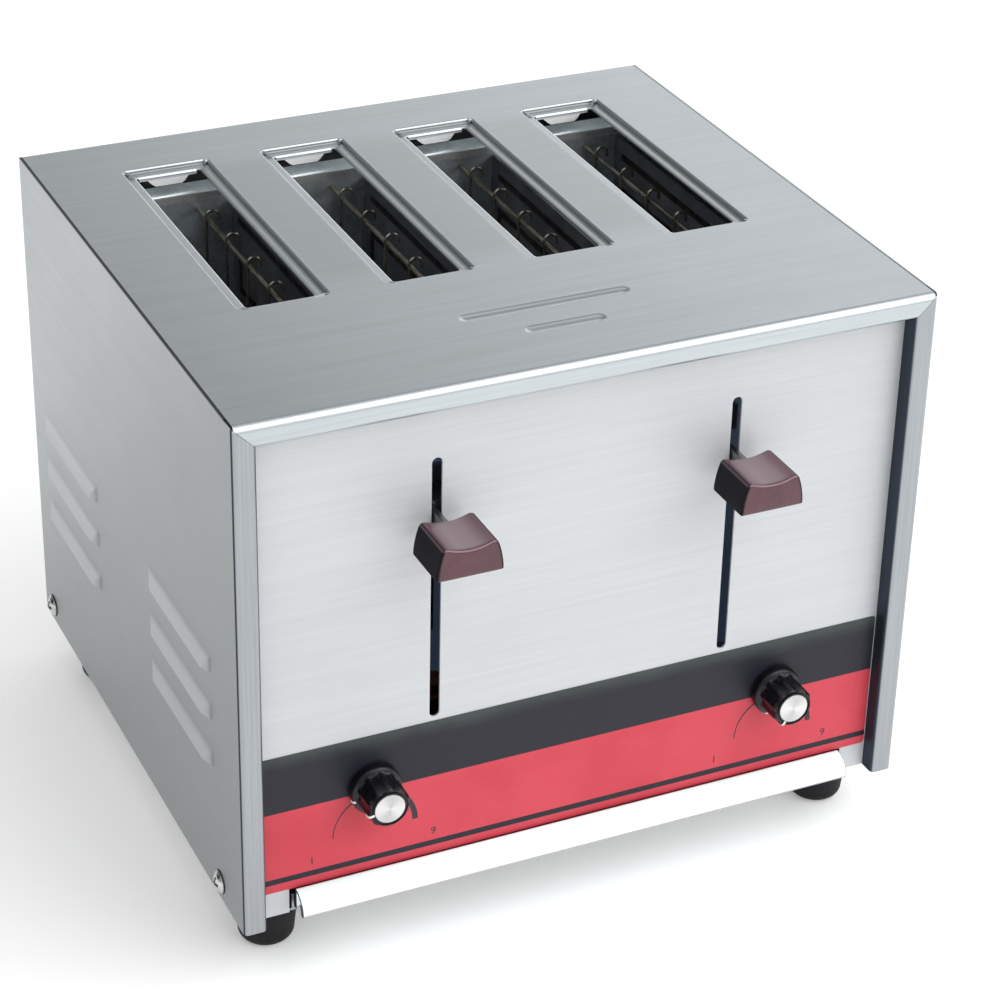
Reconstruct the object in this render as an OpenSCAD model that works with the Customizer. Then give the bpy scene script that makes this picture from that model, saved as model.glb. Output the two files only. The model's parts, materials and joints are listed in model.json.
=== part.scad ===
// Four-slot commercial pop-up toaster in sheet steel, in millimetres, +Z up.
// The front faces -Y. The origin is under the middle of the whole footprint,
// at the level of the feet's soles.

/* [Casing] */
// Width over the side panels
casing_w = 305; // [300:1:330]
// Depth from the front flanges to the rear flanges
casing_d = 276; // [270:1:310]
// Height of the side panels
casing_h = 234; // [230:1:260]
// Thickness of the sheet steel
sheet_t = 1; // [0.8:0.1:1.2]
// Width of the flanges and lips that frame the front and the rear
flange_w = 10; // [8:0.5:13]
// Depth of the front panel behind the front flanges
recess_d = 8; // [6:0.5:11]
// Inside radius of the sheet bends
bend_r = 1.2; // [0.8:0.1:1.6]
// Inside radius of the bends along the front and rear of the top cover
lip_bend_r = 2.4; // [1.6:0.2:3.2]
// Gap at the seams between the casing's sheets
seam = 0.2; // [0.1:0.05:0.4]
// Height of the flanges that the base turns up and the top cover turns down
rim_flange_h = 14; // [12:1:18]

/* [Bread slots] */
// Distance from the outer slots' middles to the casing's sides
slot_side_room = 56.5; // [54:0.5:62]
// Width of a slot's opening
slot_w = 29.6; // [27:0.2:32]
// Length of a slot's opening
slot_l = 139; // [130:1:142]
// Distance of the slots' middle behind the casing's middle
slot_offset = 29.3; // [26:0.1:31]
// Width of the pressed rim round a slot
rim_w = 5; // [3:0.5:7]
// Depth of the pressed rim below the top
rim_drop = 2; // [1:0.2:2.4]
// Corner radius of the pressed rim
rim_corner_r = 2.5; // [1.5:0.5:6]
// Corner radius of the slot's opening
slot_corner_r = 1.5; // [1:0.5:5]
// Height of the lip turned down at the rear of a slot
rear_lip_h = 2.2; // [1.8:0.1:2.6]
// Height of the tab below that lip
tab_h = 5; // [3:0.2:6]
// Width of that tab along its root
tab_w = 19; // [10:1:20]

/* [Pressed beads on top] */
// Length of the rear bead
bead_long = 76; // [50:1:100]
// Length of the front bead
bead_short = 36; // [20:1:60]
// Distance of the rear bead behind the casing's front
bead_setback = 52; // [48:1:56]
// Distance between the two beads
bead_pitch = 19; // [14:1:22]
// Width of a bead
bead_w = 7; // [5:0.5:9]
// Depth of a bead
bead_drop = 0.9; // [0.5:0.1:1.2]

/* [Side louvres] */
// Length of a louvre
louvre_l = 77; // [50:1:84]
// Height of a louvre
louvre_h = 8.5; // [6:0.5:11]
// How far a louvre stands out
louvre_proud = 2.4; // [1.6:0.2:3.2]
// Length over which a louvre's ends slope down to the sheet
louvre_end = 7; // [4:0.5:12]
// Distance between louvres in a group
louvre_pitch = 22.5; // [16:0.5:28]
// Height of the lowest louvre's lip above the casing's lower edge
louvre_z = 63; // [40:1:80]
// Distance of the front group's front end behind the casing's front
louvre_setback = 32; // [24:1:40]
// Distance from the front group's start to the rear group's start
louvre_group_pitch = 147; // [100:1:150]

/* [Feet] */
// Height of a rubber foot
foot_h = 25.5; // [18:0.5:30]
// Radius of a foot where it meets the base
foot_top_r = 13.5; // [11:0.5:15]
// Radius of a foot's sole
foot_sole_r = 12; // [11:0.5:13]
// Radius of the round edge of a foot's sole
foot_edge_r = 5; // [3:0.5:5.5]
// Distance of a foot's axis inside the casing's side
foot_inset_x = 20; // [18:0.5:22]
// Distance of a foot's axis from the casing's front and rear
foot_inset_y = 30; // [22:1:36]

/* [Lift levers] */
// Distance of a lever outside the middle of its two slots
lever_offset = 2; // [-2:0.5:4]
// Height of the lever arm at rest above the casing's lower edge
lever_z = 172; // [170:1:178]
// How far a lever goes down from rest
lever_down = 84; // [70:1:85]
// How far a lever can be lifted above rest
lever_up = 20; // [12:1:22]
// Width of the lever slot in the front panel
lever_slot_w = 4.4; // [3.8:0.1:6]
// Free length of the lever slot beyond the arm's limits, above and below
lever_slot_gap = 4; // [3:0.5:6]
// Thickness of the lever arm
arm_t = 2.6; // [2:0.1:3]
// Height of the lever arm
arm_h = 8; // [6:0.5:8.5]
// Gap between the front panel and the lever knob
lever_gap = 9; // [6:0.5:14]
// Depth of the lever knob, front to back
lever_knob_d = 24; // [18:1:30]
// Width of the lever knob along its foot
lever_knob_w = 28.6; // [24:0.2:34]
// Width of the lever knob along its top
lever_knob_top_w = 22.6; // [18:0.2:26]
// Height of the lever knob
lever_knob_h = 14.6; // [13:0.2:18]
// Depth of the finger saddle in the lever knob
saddle_d = 2.6; // [1.5:0.1:3]
// Depth of the lever knob's socket for the arm
arm_socket_d = 14; // [8:1:16]

/* [Carriages] */
// Radius of a guide rod
rod_r = 4; // [3:0.25:5]
// Running clearance between a carriage and its guide rod
rod_fit = 0.05; // [0.02:0.01:0.08]
// Distance of the guide rods in front of the oven
rod_setback = 33; // [30:1:36]
// Wall of the carriage's bush
bush_wall = 4; // [3:0.5:5]
// Thickness of a bread rack's bar
rack_t = 2; // [1.5:0.1:3]
// Height of a bread rack's bar
rack_h = 10; // [8:0.5:12]
// Clearance of the bread rack in the oven walls' slots
rack_gap = 0.8; // [0.5:0.1:1.5]
// Depth of the bread racks' top below the lever arm
rack_drop = 12; // [10:0.5:14]
// Half length of the rests across a bread rack
rest_half = 10.5; // [8:0.5:11]
// Number of rests across a bread rack
rest_count = 6; // [4:1:8]

/* [Return springs] */
// Mean radius of a return spring
spring_r = 4.6; // [3.5:0.1:5]
// Radius of the spring wire
spring_wire_r = 0.7; // [0.5:0.05:0.8]
// Number of turns
spring_turns = 12; // [8:1:14]

/* [Oven] */
// Distance from a slot's ends to the oven walls
oven_gap = 5.6; // [5:0.1:7]
// Depth of the oven walls' top fold below the top
oven_drop = 14.5; // [13:0.5:18]
// Width of the flanges folded on the oven walls
oven_flange = 9; // [6:0.5:10]
// Distance from the outer element boards to the oven's sides
oven_side_gap = 9; // [7:0.5:10]
// Thickness of an element board
board_t = 1.2; // [0.8:0.1:2]
// Height of the element boards' lower edge above the casing's lower edge
board_z = 62; // [50:1:66]
// Height of the tabs at the ends of an element board
board_tab_h = 10; // [6:1:14]
// Width of the heater ribbon
ribbon_w = 3; // [2:0.5:4]
// Thickness of the heater ribbon
ribbon_t = 0.4; // [0.2:0.1:0.6]
// Number of runs of ribbon on one face of a board
ribbon_runs = 9; // [5:2:11]

/* [Bread guards] */
// Radius of the upright wires
wire_r = 0.7; // [0.6:0.1:1.1]
// Radius of the long rods
guard_rod_r = 1.1; // [0.9:0.1:1.5]
// Mean radius of the hooks at the wires' tops
hook_r = 2.9; // [2.4:0.1:3.4]
// Distance between upright wires
wire_pitch = 26.4; // [20:0.2:30]
// Least distance from the oven's end walls to the upright wires
wire_margin = 15; // [10:0.5:20]
// Depth of the upper rod below the top
guard_drop = 23.5; // [20:0.5:26]
// Height of the lower rod above the casing's lower edge
guard_low = 58; // [50:1:62]

/* [Front label] */
// Thickness of the label
label_t = 0.3; // [0.2:0.1:0.5]
// Height of the label's lower edge above the casing's lower edge
label_z = 12; // [11:0.5:13]
// Height of the label
label_h = 66; // [63:1:68]
// Gap between the label's ends and the front flanges
label_gap = 0.6; // [0.3:0.1:2]

/* [Dials] */
// Distance of a dial inside the casing's side
dial_inset = 59.5; // [56:0.5:64]
// Height of a dial's axis above the casing's lower edge
dial_z = 53.7; // [50:0.5:58]
// Distance from the front panel to the dial's front
dial_reach = 18; // [16:0.5:22]
// Radius of the dial's skirt
skirt_r = 11.2; // [10:0.2:13]
// Radius of the dial's fluted body
dial_r = 9.6; // [9:0.2:10]
// Number of flutes
flute_count = 10; // [8:1:20]
// Radius of the metal cap
cap_r = 6.6; // [6:0.2:7.6]
// Radius of the timer's shaft
shaft_r = 3; // [2.5:0.1:3.2]
// Running clearance of the shaft
shaft_fit = 0.05; // [0.02:0.01:0.08]
// Pointer of the left dial, degrees anticlockwise from the right
left_pointer = 195; // [-60:1:240]
// Pointer of the right dial, degrees anticlockwise from the right
right_pointer = 240; // [-60:1:240]

/* [Crumb tray] */
// Distance from the casing's sides to the tray's sides
tray_inset = 25.5; // [24:0.5:30]
// Height of the tray's sides
tray_h = 8; // [6:0.5:9]
// Clearance round the tray
tray_gap = 0.6; // [0.4:0.1:0.9]
// Height of the tray's mouth in the front panel
tray_mouth_h = 12; // [11.5:0.5:12]
// Outside radius of the tray's rolled pull
pull_r = 8; // [7.4:0.2:8.4]
// Gap inside the pull's folded hem
hem_gap = 0.8; // [0.4:0.1:1]
// Height of the pull's folded hem
hem_h = 3.6; // [2:0.2:4]

/* [Cord entry] */
// Bore radius of the cord bush
cord_r = 4.6; // [3.5:0.1:5.5]
// Distance of the cord bush from the middle
cord_x = 105; // [95:1:115]
// Height of the cord bush above the casing's lower edge
cord_z = 34; // [30:1:50]
// How far the cord bush stands behind the casing
cord_proud = 6; // [4:0.5:8]

/* [Hidden] */
$fn = 64;
// Overshoot of cutting shapes past a face
over = 1;
// Small gap between fixed pieces that don't touch
play = 0.5;

// Main planes
lever_reach = lever_gap + lever_knob_d - recess_d;
front_y = lever_reach - (casing_d + lever_reach + cord_proud) / 2;
rear_y = front_y + casing_d;
panel_y = front_y + recess_d;
base_z = foot_h;
top_z = base_z + casing_h;
side_x = casing_w / 2;
bend_o = bend_r + sheet_t;
lip_o = lip_bend_r + sheet_t;
inner_x = side_x - sheet_t - seam;
rear_panel_x = side_x - bend_o - seam;

// Slots and oven
slot_y = (front_y + rear_y) / 2 + slot_offset;
slot_y0 = slot_y - slot_l / 2;
slot_y1 = slot_y + slot_l / 2;
rim_z = top_z - rim_drop;
rim_turn_r = 0.5;
rim_turn_o = rim_turn_r + sheet_t;
tab_taper = 0.74;
tab_corner = 1;
slot_pitch = (casing_w - 2 * slot_side_room) / 3;
slot_xs = [for (i = [-1.5:1:1.5]) i * slot_pitch];
board_xs = [for (i = [-2:1:2]) i * slot_pitch];
oven_y0 = slot_y0 - oven_gap;
oven_y1 = slot_y1 + oven_gap;
oven_x = 2 * slot_pitch + oven_side_gap;
oven_top = top_z - oven_drop;
oven_wall_x = oven_x + sheet_t + oven_flange;
oven_low = base_z + tray_mouth_h + 6;
board_z0 = base_z + board_z;
board_z1 = oven_top - 6;
tab_rise = 40;
tab_drop = 15;
board_tab_zs = [board_z0 + tab_rise, board_z1 - tab_drop];
guard_x = slot_w / 2 - wire_r - play;
wire_count = 1 + floor((oven_y1 - oven_y0 - 2 * wire_margin) / wire_pitch);
wire_tail = 4;
hook_leg = 2;
weld_sink = 0.3;

// Levers and carriages
lever_x = slot_pitch + lever_offset;
arm_z = base_z + lever_z;
lever_slot_z = arm_z - lever_down - arm_h / 2 - lever_slot_gap;
lever_slot_l = lever_down + lever_up + arm_h + 2 * lever_slot_gap;
lever_front_y = panel_y - lever_gap - lever_knob_d;
lever_back_y = panel_y - lever_gap;
rod_y = oven_y0 - sheet_t - rod_setback;
bush_r = rod_r + bush_wall;
arm_pad_y = rod_y - bush_r - 7;
arm_pad_half = 5;
plate_t = 2.5;
plate_y = rod_y + bush_r - 1;
rack_top = arm_z - rack_drop;
rack_low = rack_top - rack_h;
shelf_t = 1.2;
shelf_z = base_z + tray_mouth_h + 9;
bar_t = 2;
bar_z = top_z - rim_flange_h - sheet_t - 5;
bar_half = 10;
spigot_r = rod_r - 1.5;
spring_x = lever_x + bush_r + spring_r + spring_wire_r + 2;
ear_t = 4;
ear_half = spring_r + spring_wire_r;
spring_z0 = rack_low + 6;
turn_steps = 8;
end_steps = 6;
magnet_r = 11;
magnet_x = lever_x - bush_r - magnet_r - 1;
armature_r = 7;
armature_z = rack_low - 3;
magnet_top = armature_z - lever_down - 0.5;

// Dials and board
dial_x = side_x - dial_inset;
dial_axis_z = base_z + dial_z;
label_face = panel_y - label_t;
skirt_y = label_face - 0.7;
skirt_l = 4.5;
flute_share = 0.62;
pointer_half = 0.6;
dial_front = panel_y - dial_reach;
cap_t = 0.9;
cap_sink = 0.5;
timer_r = 12;
timer_l = 12;
thread_r = 4;
nut_r = 6.4;
nut_l = 2.4;
nut_bay_r = 7.6;
nut_bay_y = panel_y - 6;
shaft_tip = dial_front + 4;
timer_bore_y = panel_y + sheet_t + timer_l - 2;

// Tray
tray_x = side_x - tray_inset;
tray_floor = base_z + sheet_t + 0.4;
tray_front = panel_y - 0.4;
tray_rear = oven_y1 - 2;
rail_x = tray_x + tray_gap;
mouth_x = rail_x + sheet_t + 1.4;
pull_y = tray_front - 2 * sheet_t;
pull_top = base_z + label_z + 0.3;

// Fasteners and cord entry
screw_r = 2.4;
screw_head_r = 5.5;
screw_head_h = 2.8;
side_screw_z = base_z + 8;
side_screw_front = 28.5;
side_screw_rear = 14;
side_screw_ys = [front_y + side_screw_front, rear_y - side_screw_rear];
rear_screw_r = 1.5;
rear_screw_head_r = 3.2;
rear_screw_head_h = 1.8;
rear_screw_l = 5;
side_screw_l = 6;
foot_screw_head_h = 2.4;
foot_screw_run = 3;
rear_screw_x = (side_x - bend_o + side_x - flange_w) / 2;
rear_screw_edge = 30;
rear_screw_zs = [base_z + rear_screw_edge, base_z + casing_h / 2, top_z - rear_screw_edge];
foot_xs = [-1, 1] * (side_x - foot_inset_x);
foot_ys = [front_y + foot_inset_y, rear_y - foot_inset_y];
foot_screw_r = 2;
foot_seat_z = foot_h / 2;
foot_collar_h = 6;
cord_hole_r = cord_r + 3.4;
vent_count = 12;
vent_pitch = 16;
vent_w = 4;
vent_l = 46;
vent_z = base_z + casing_h * 0.55;

// Wiring beside and behind the oven
conductor_r = 2;
lead_hole = 2 * (conductor_r + play);
bus_y = oven_y1 + sheet_t + 3;
bus_t = 1.5;
bus_x = board_xs[4] + 2;
block_gap = 1.5;
block_w = 13;
block_half_l = 20;
block_h = 14;
block_xs = [mouth_x + block_gap, mouth_x + block_gap + block_w];
block_ys = [slot_y - block_half_l, slot_y + block_half_l];
lead_pitch = 6;
lead_xs = [for (side = [-1, 1]) (block_xs[0] + block_xs[1] + side * lead_pitch) / 2];
lead_lift = 10;
lead_z = base_z + lead_lift;
lead_front_y = (panel_y + sheet_t + timer_l + rod_y - magnet_r) / 2;
lead_rear_y = bus_y + bus_t + conductor_r - 0.5;
block_cap_r = 2.4;
block_cap_h = 1.5;

// Control board
pcb_half = 54;
pcb_gap = 8;
pcb_y = panel_y + sheet_t + pcb_gap;
pcb_t = 1.6;
pcb_h = 46;
pcb_z0 = shelf_z + shelf_t + 8;
pcb_z1 = pcb_z0 + pcb_h;
pcb_edge = 5;
spacer_r = 3;
transformer_x = 27;
transformer_w = 30;
transformer_h = 14;
relay_w = 12;
relay_l = 22;
relay_gap = 4;
clamp_w = 14;
clamp_wall = 5;
lead_top_zs = [pcb_z0 + 14, pcb_z0 + 24];

SIDES = ["left", "right"];

// Shared shapes

// Box between two values on each axis
module block(x, y, z) {
  translate([x[0], y[0], z[0]]) cube([x[1] - x[0], y[1] - y[0], z[1] - z[0]]);
}

// Rectangle between two values on each axis
module rect(a, b) {
  translate([a[0], b[0]]) square([a[1] - a[0], b[1] - b[0]]);
}

// Sweeps an outline drawn in Y and Z along X
module along_x(x) {
  translate([x[0], 0, 0]) rotate([90, 0, 90]) linear_extrude(x[1] - x[0]) children();
}

// Sweeps an outline drawn in X and Z along Y
module along_y(y) {
  translate([0, y[1], 0]) rotate([90, 0, 0]) linear_extrude(y[1] - y[0]) children();
}

// Sweeps an outline drawn in X and Y along Z
module along_z(z) {
  translate([0, 0, z[0]]) linear_extrude(z[1] - z[0]) children();
}

// Round bar along Y, at x and z
module bar_y(x, z, y, r) {
  along_y(y) translate([x, z]) circle(r);
}

// Round bar along Z, at x and y
module bar_z(x, y, z, r) {
  along_z(z) translate([x, y]) circle(r);
}

// Square lead through a list of points, each run along one axis
module lead(points) {
  last = len(points) - 1;
  for (i = [1:last]) {
    run = points[i] - points[i - 1];
    d = run / norm(run);
    side = conductor_r * [1 - abs(d.x), 1 - abs(d.y), 1 - abs(d.z)];
    a = points[i - 1] - (i > 1 ? conductor_r : 0) * d;
    b = points[i] + (i < last ? conductor_r : 0) * d;
    block([min(a.x, b.x) - side.x, max(a.x, b.x) + side.x], [min(a.y, b.y) - side.y, max(a.y, b.y) + side.y],
      [min(a.z, b.z) - side.z, max(a.z, b.z) + side.z]);
  }
}

// Quarter of a bent sheet; turn 0 curves through the first quadrant
module elbow(inner_r, turn) {
  rotate(turn) intersection() {
    difference() {
      circle(inner_r + sheet_t);
      circle(inner_r);
    }
    square(inner_r + sheet_t);
  }
}

// Upright slot with round ends, from its lower end
module stadium(w, l) {
  translate([-w / 2, w / 2]) square([w, l - w]);
  translate([0, w / 2]) circle(w / 2);
  translate([0, l - w / 2]) circle(w / 2);
}

// Rectangle about its middle with round corners
module round_rect(w, l, r) {
  square([w - 2 * r, l], center = true);
  square([w, l - 2 * r], center = true);
  for (x = [-1, 1], y = [-1, 1]) translate([x * (w / 2 - r), y * (l / 2 - r)]) circle(r);
}

// Solid bar with ball ends along Y, about its middle
module capsule(l, r) {
  rotate([-90, 0, 0]) translate([0, 0, -l / 2]) rotate_extrude() intersection() {
    stadium(2 * r, l);
    square([r, l]);
  }
}

// Round pan head with a cross recess, its seat at the origin and its crown up
module pan_screw(head_r, head_h, shank_r, shank_l) {
  crown_r = (head_r * head_r + head_h * head_h) / (2 * head_h);
  recess_w = head_r / 4;
  recess_floor = head_h / 2;
  difference() {
    union() {
      intersection() {
        translate([0, 0, head_h - crown_r]) sphere(crown_r);
        cylinder(h = head_h, r = head_r);
      }
      translate([0, 0, -shank_l]) cylinder(h = shank_l, r = shank_r);
    }
    for (turn = [0, 90]) rotate(turn)
      translate([-head_r / 2, -recess_w / 2, recess_floor]) cube([head_r, recess_w, head_h]);
  }
}

// Draws the child on the right, and on the left as its mirror image
module on_side(side) {
  mirror([side == "left" ? 1 : 0, 0, 0]) children();
}

// Casing

// Outline from above of a right side panel with its front and rear flanges
module side_outline() {
  rect([side_x - sheet_t, side_x], [front_y + bend_o, rear_y - bend_o]);
  translate([side_x - bend_o, front_y + bend_o]) elbow(bend_r, 270);
  rect([side_x - flange_w + bend_o, side_x - bend_o], [front_y, front_y + sheet_t]);
  translate([side_x - flange_w + bend_o, front_y + bend_o]) elbow(bend_r, 180);
  rect([side_x - flange_w, side_x - flange_w + sheet_t], [front_y + bend_o, panel_y]);
  translate([side_x - bend_o, rear_y - bend_o]) elbow(bend_r, 0);
  rect([side_x - flange_w, side_x - bend_o], [rear_y - sheet_t, rear_y]);
}

// Region beyond the mitre between a flange and a lip, on the right
module mitre_region(gap) {
  run = flange_w + 2 * over;
  far = side_x + over;
  polygon([
    [far, top_z + over - gap],
    [far - run, top_z + over - gap - run],
    [far - run, top_z + 2 * over],
    [far, top_z + 2 * over]
  ]);
}

// What a lip bend leaves of a square corner, front or rear
module lip_corner_cut() {
  for (y = [front_y, rear_y]) {
    inward = y == front_y ? 1 : -1;
    along_x([side_x - flange_w - over, side_x + over]) difference() {
      translate([y, top_z]) square(2 * lip_o, center = true);
      translate([y + inward * lip_o, top_z - lip_o]) circle(lip_o);
      translate([y + inward * lip_o, top_z - lip_o]) rect([-2, 2] * lip_o, [-2 * lip_o, 0]);
      translate([y + inward * lip_o, top_z])
        rect(inward > 0 ? [0, lip_o] : [-lip_o, 0], [-2 * lip_o, 0]);
    }
  }
}

// Louvre that slopes out to an open lower lip; a positive wall gives the hollow behind it
module louvre_form(wall) {
  skin = side_x - wall;
  back = skin - sheet_t / 2;
  lip = skin + louvre_proud;
  reach = louvre_l / 2 - wall;
  intersection() {
    along_y([-1, 1] * louvre_l) polygon([[back, 0], [lip, 0], [skin, louvre_h], [back, louvre_h]]);
    along_z([-over, louvre_h + over]) polygon([
      [back, -reach],
      [skin, -reach],
      [lip, louvre_end - reach],
      [lip, reach - louvre_end],
      [skin, reach],
      [back, reach]
    ]);
  }
}

module each_louvre() {
  for (group = [0, 1], row = [0:2]) {
    y = front_y + louvre_setback + louvre_l / 2 + group * louvre_group_pitch;
    translate([0, y, base_z + louvre_z + row * louvre_pitch]) children();
  }
}

module side_panel() {
  difference() {
    union() {
      difference() {
        along_z([base_z, top_z]) side_outline();
        for (y = [[front_y - over, panel_y + over], [rear_y - sheet_t - bend_r, rear_y + over]])
          along_y(y) mitre_region(seam / 2);
        lip_corner_cut();
      }
      each_louvre() louvre_form(0);
    }
    each_louvre() louvre_form(sheet_t);
    for (y = side_screw_ys)
      translate([side_x - 2 * sheet_t, y, side_screw_z]) rotate([0, 90, 0])
        cylinder(h = 3 * sheet_t, r = screw_r + seam);
    for (z = rear_screw_zs)
      bar_y(rear_screw_x, z, [rear_y - 2 * sheet_t, rear_y + over], rear_screw_r + seam);
  }
}

module left_side_panel() { color("gray") on_side("left") side_panel(); }
module right_side_panel() { color("gray") on_side("right") side_panel(); }

// Outline from the side of the top cover with its front and rear lips
module top_outline() {
  lip_low = top_z - flange_w;
  rect([front_y + lip_o, rear_y - lip_o], [top_z - sheet_t, top_z]);
  translate([front_y + lip_o, top_z - lip_o]) elbow(lip_bend_r, 90);
  rect([front_y, front_y + sheet_t], [lip_low + bend_o, top_z - lip_o]);
  translate([front_y + bend_o, lip_low + bend_o]) elbow(bend_r, 180);
  rect([front_y + bend_o, panel_y], [lip_low, lip_low + sheet_t]);
  translate([rear_y - lip_o, top_z - lip_o]) elbow(lip_bend_r, 0);
  rect([rear_y - sheet_t, rear_y], [lip_low, top_z - lip_o]);
}

// Outline of a rim, grown by a margin on each side
module rim_outline(margin) {
  corner_r = margin == 0 ? slot_corner_r : rim_corner_r + margin - rim_w;
  translate([0, slot_y]) round_rect(slot_w + 2 * margin, slot_l + 2 * margin, corner_r);
}

// Lip turned down at the rear of a slot, cut away beside its tab
module rear_lip(half_w) {
  low = rim_z - rear_lip_h;
  tab_low = low - tab_h;
  root = min(tab_w / 2, half_w);
  tip = root * tab_taper;
  lean = (root - tip) / tab_h;
  difference() {
    along_x([-half_w, half_w]) {
      rect([slot_y1 + rim_turn_o, slot_y1 + rim_w], [rim_z - sheet_t, rim_z]);
      translate([slot_y1 + rim_turn_o, rim_z - rim_turn_o]) elbow(rim_turn_r, 90);
      rect([slot_y1, slot_y1 + sheet_t], [tab_low, rim_z - rim_turn_o]);
    }
    for (side = SIDES) on_side(side) along_y([slot_y1 - over, slot_y1 + sheet_t + over]) polygon([
      [root, low],
      [half_w + over, low],
      [half_w + over, tab_low - over],
      [tip - tab_corner, tab_low - over],
      [tip - tab_corner, tab_low],
      [tip + lean * tab_corner, tab_low + tab_corner]
    ]);
  }
}

// Pressed step and turned-in flange round a slot, with the lip at its rear
module slot_rim() {
  lip_half = slot_w / 2 - slot_corner_r;
  along_z([rim_z - sheet_t, top_z]) difference() {
    rim_outline(rim_w + sheet_t / 2);
    rim_outline(rim_w - sheet_t / 2);
  }
  along_z([rim_z - sheet_t, rim_z]) difference() {
    rim_outline(rim_w);
    rim_outline(0);
    rect([-lip_half, lip_half], [slot_y, slot_y1 + rim_turn_o]);
  }
  rear_lip(lip_half);
}

// Bead pressed into the top; a positive wall gives the sheet under it
module bead_form(l, wall) {
  arc_r = (bead_w * bead_w / 4 + bead_drop * bead_drop) / (2 * bead_drop);
  straight = l - bead_w;
  translate([0, 0, top_z + arc_r - bead_drop]) rotate(90)
    capsule(straight + 2 * (arc_r + wall), arc_r + wall);
}

module each_bead() {
  for (row = [0, 1])
    translate([0, front_y + bead_setback - row * bead_pitch, 0])
      bead_form(row == 0 ? bead_long : bead_short, $wall);
}

module top_cover() {
  color("darkgray") difference() {
    union() {
      difference() {
        along_x([-side_x, side_x]) top_outline();
        for (side = SIDES) on_side(side) {
          block([inner_x, side_x + over], [front_y - over, rear_y + over],
            [top_z - 2 * flange_w, top_z + over]);
          for (y = [[front_y - over, panel_y + over], [rear_y - lip_o, rear_y + over]])
            along_y(y) difference() {
              rect([side_x - flange_w - over, side_x + over], [top_z - flange_w - over, top_z]);
              mitre_region(-seam / 2);
            }
        }
        for (x = slot_xs)
          translate([x, 0, 0]) along_z([top_z - 2 * sheet_t, top_z + over]) rim_outline(rim_w);
      }
      for (x = slot_xs) translate([x, 0, 0]) slot_rim();
      for (side = SIDES) on_side(side)
        block([inner_x - sheet_t, inner_x], [panel_y + 3 * sheet_t, rear_y - 5 * sheet_t],
          [top_z - sheet_t - rim_flange_h, top_z - sheet_t / 2]);
      intersection() {
        each_bead($wall = sheet_t);
        block([-side_x, side_x], [panel_y, slot_y0], [top_z - flange_w, top_z - sheet_t / 2]);
      }
    }
    each_bead($wall = 0);
  }
}

module front_panel() {
  color("lightgray") along_y([panel_y, panel_y + sheet_t]) difference() {
    rect([-inner_x, inner_x], [base_z, top_z - sheet_t - seam]);
    rect([-mouth_x, mouth_x], [base_z - over, base_z + tray_mouth_h]);
    for (side = [-1, 1]) {
      translate([side * lever_x, lever_slot_z]) stadium(lever_slot_w, lever_slot_l);
      translate([side * dial_x, dial_axis_z]) circle(thread_r + seam);
    }
  }
}

module control_label() {
  half = side_x - flange_w - label_gap;
  color("firebrick") along_y([label_face, panel_y]) difference() {
    translate([0, base_z + label_z + label_h / 2]) round_rect(2 * half, label_h, 1.5);
    for (side = [-1, 1]) translate([side * dial_x, dial_axis_z]) circle(thread_r + seam);
  }
}

module rear_panel() {
  rear_top = top_z - lip_o - seam;
  color("gray") along_y([rear_y - 2 * sheet_t, rear_y - sheet_t]) difference() {
    rect([-rear_panel_x, rear_panel_x], [base_z, rear_top]);
    translate([cord_x, base_z + cord_z]) circle(cord_hole_r);
    for (side = [-1, 1], z = rear_screw_zs) translate([side * rear_screw_x, z]) circle(rear_screw_r);
    for (i = [0:vent_count - 1])
      translate([(i - (vent_count - 1) / 2) * vent_pitch, vent_z]) stadium(vent_w, vent_l);
  }
}

module base_plate() {
  y = [panel_y + sheet_t, rear_y - 2 * sheet_t];
  flange_z = [base_z, base_z + rim_flange_h];
  color("dimgray") difference() {
    union() {
      block([-inner_x, inner_x], y, [base_z, base_z + sheet_t]);
      for (side = SIDES) on_side(side) {
        block([inner_x - sheet_t, inner_x], y, flange_z);
        block([rail_x, rail_x + sheet_t], [y[0], tray_rear], [base_z, base_z + tray_h]);
      }
      block([-rear_panel_x, rear_panel_x], [y[1] - sheet_t, y[1]], flange_z);
    }
    for (x = foot_xs, y = foot_ys) bar_z(x, y, [base_z - over, base_z + 2 * sheet_t], foot_screw_r);
    for (y = side_screw_ys)
      translate([-side_x, y, side_screw_z]) rotate([0, 90, 0]) cylinder(h = casing_w, r = screw_r);
  }
}

module side_screws() {
  color("silver") for (side = SIDES, y = side_screw_ys)
    on_side(side) translate([side_x, y, side_screw_z]) rotate([0, 90, 0])
      pan_screw(screw_head_r, screw_head_h, screw_r, side_screw_l);
}

module rear_screws() {
  color("silver") for (side = SIDES, z = rear_screw_zs)
    on_side(side) translate([rear_screw_x, rear_y, z]) rotate([-90, 0, 0])
      pan_screw(rear_screw_head_r, rear_screw_head_h, rear_screw_r, rear_screw_l);
}

// Rubber foot with a round sole edge and a counterbore for its screw
module foot(x, y) {
  color("black") translate([x, y, 0]) difference() {
    rotate_extrude() {
      polygon([
        [0, 0],
        [foot_sole_r - foot_edge_r, 0],
        [foot_sole_r, foot_edge_r],
        [foot_top_r, foot_h - foot_collar_h],
        [foot_top_r, foot_h],
        [0, foot_h]
      ]);
      intersection() {
        translate([foot_sole_r - foot_edge_r, foot_edge_r]) circle(foot_edge_r);
        square([foot_sole_r, foot_h]);
      }
    }
    translate([0, 0, -over]) cylinder(h = foot_h + 2 * over, r = foot_screw_r + seam);
    translate([0, 0, -over]) cylinder(h = foot_seat_z + over, r = 2 * foot_screw_r + play);
  }
}

module front_left_foot() { foot(foot_xs[0], foot_ys[0]); }
module front_right_foot() { foot(foot_xs[1], foot_ys[0]); }
module rear_left_foot() { foot(foot_xs[0], foot_ys[1]); }
module rear_right_foot() { foot(foot_xs[1], foot_ys[1]); }

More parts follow.
